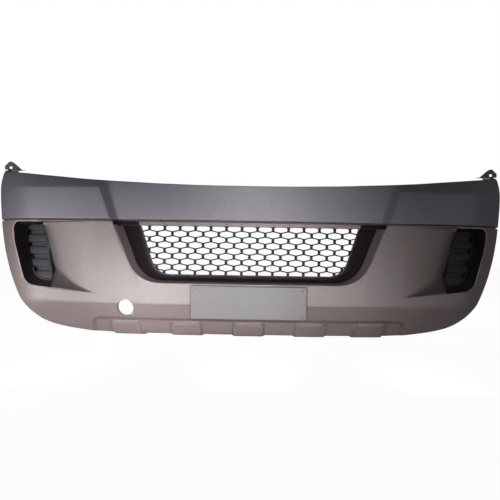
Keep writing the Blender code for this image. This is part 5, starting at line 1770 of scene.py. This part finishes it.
bracket_places = [skin(hand * run, top_of_band(run) + 0.0035, sum(BRACKET_DEPTH) / 2)
                  for hand in (-1, 1)
                  for run in (BRACKET_RUN[0] + 0.010, BRACKET_RUN[1] - 0.008)]
keep_screws("bracket_screw", BRACKET_SIZE, bracket_places, UP, DARK_STEEL, "dark_steel")

plate_places = [at(x, plate_y(h) + SINK_DEPTH - 0.0001, h) for x, h in PLATE_SPOTS]
keep_screws("plate_screw", PLATE_SIZE, plate_places, FORWARD, ZINC_STEEL, "zinc_steel")

mesh_places = [at(hand * x, front_arc(x) + MESH_FRONT + 0.0062, h)
               for x, h in MESH_SPOTS for hand in (-1, 1)]
keep_screws("mesh_screw", MESH_SIZE, mesh_places, BACKWARD, DARK_STEEL, "dark_steel")

# %% [markdown]
# ## Studio
# The object stands on a plain white floor in an unevenly lit room: the near left is bright
# and the right falls into shade.  Each lamp is one row of a table.  A weak lamp behind makes
# the back readable.  The camera stands 2.6 m in front, at the height of the middle.

# %% Floor, light and camera
FLOOR_HALF = 14
# name, place, target, size, spread in degrees, power
LIGHTS = (
    ("key left", (-1.6, -1.7, -0.1), (-0.35, 0.0, -0.20), 0.4, 180, 2.2),
    ("fill right", (1.8, -1.4, -0.2), (0.5, 0.0, -0.3), 0.5, 180, 3.6),
    ("band fill", (0.1, -2.5, 0.2), (0.0, 0.0, -0.06), 0.2, 25, 1.0),
    ("lower left spot", (-0.5, -1.4, -0.42), (-0.35, 0.0, -0.40), 0.2, 25, 0.48),
    ("lower right spot", (0.5, -1.6, -0.42), (0.42, 0.0, -0.44), 0.3, 25, 0.02),
    ("corner spot", (-2.0, -1.5, -0.45), (-0.76, 0.1, -0.43), 0.3, 38, 2.7),
    ("corner bounce", (-1.35, -0.35, -0.52), (-0.8, 0.15, -0.42), 0.3, 100, 0.9),
    ("floor bounce left", (-0.55, -1.0, -0.53), (-0.5, 0.0, -0.47), 0.2, 50, 1.0),
    ("floor bounce right", (0.45, -1.0, -0.53), (0.4, 0.0, -0.46), 0.2, 50, 0.8),
    ("floor bounce middle", (0.0, -1.0, -0.53), (0.0, 0.0, -0.46), 0.2, 50, 1.7),
    ("back fill", (0.0, 2.4, 0.5), (0.0, 0.1, -0.2), 1.2, 180, 14.0),
)


def floor_finish():
    """Pale matt floor that fades into the white backdrop for the camera."""
    made, add, shader = new_material("studio floor")
    for label, value in (("Base Color", (0.92, 0.92, 0.92)), ("Roughness", 0.9),
                         ("Specular IOR Level", 0.1)):
        add.feed(shader.inputs[label], value)
    glow = add("ShaderNodeEmission", Color=(1.0, 1.0, 1.0), Strength=1.12)
    seen = Term(add, add("ShaderNodeLightPath").outputs["Is Camera Ray"])
    blend = add("ShaderNodeMixShader", seen * 0.85, shader, glow)
    add.feed(made.node_tree.nodes["Material Output"].inputs["Surface"], blend)
    return made


corners = [(x * FLOOR_HALF, y * FLOOR_HALF, cad_low[2] - 0.0005)
           for x, y in ((-1, -1), (1, -1), (1, 1), (-1, 1))]
new_piece("studio_floor", corners, [(0, 1, 2, 3)], floor_finish())

world = bpy.context.scene.world or bpy.data.worlds.new("studio")
bpy.context.scene.world = world
world.use_nodes = True
world.node_tree.nodes.clear()
add = writer(world.node_tree)
white = add("ShaderNodeBackground", Color=(1.0, 1.0, 1.0), Strength=1.0)
soft = add("ShaderNodeBackground", Color=(1.0, 0.97, 0.96), Strength=0.10)
seen = add("ShaderNodeLightPath").outputs["Is Camera Ray"]
add("ShaderNodeOutputWorld", add("ShaderNodeMixShader", seen, soft, white))

for name, place, target, size, spread_angle, power in LIGHTS:
    light = bpy.data.lights.new(name, "AREA")
    light.shape = "DISK"
    light.size = size
    light.energy = power
    light.spread = radians(spread_angle)
    lamp = show(name, light)
    lamp.location = place
    lamp.rotation_euler = (Vector(target) - Vector(place)).to_track_quat("-Z", "Y").to_euler()
    lamp.visible_camera = False

lens = bpy.data.cameras.new("camera")
lens.lens = 53.48
lens.sensor_width = 36.0
lens.shift_x = 0.001
camera = show("camera", lens)
camera.matrix_world = (Matrix.Translation((0.0, -2.634, -0.225))
                       @ Matrix.Rotation(radians(90), 4, "X")
                       @ Matrix.Rotation(radians(0.95), 4, "Z"))
bpy.context.scene.camera = camera
bpy.context.scene.view_settings.view_transform = "Standard"
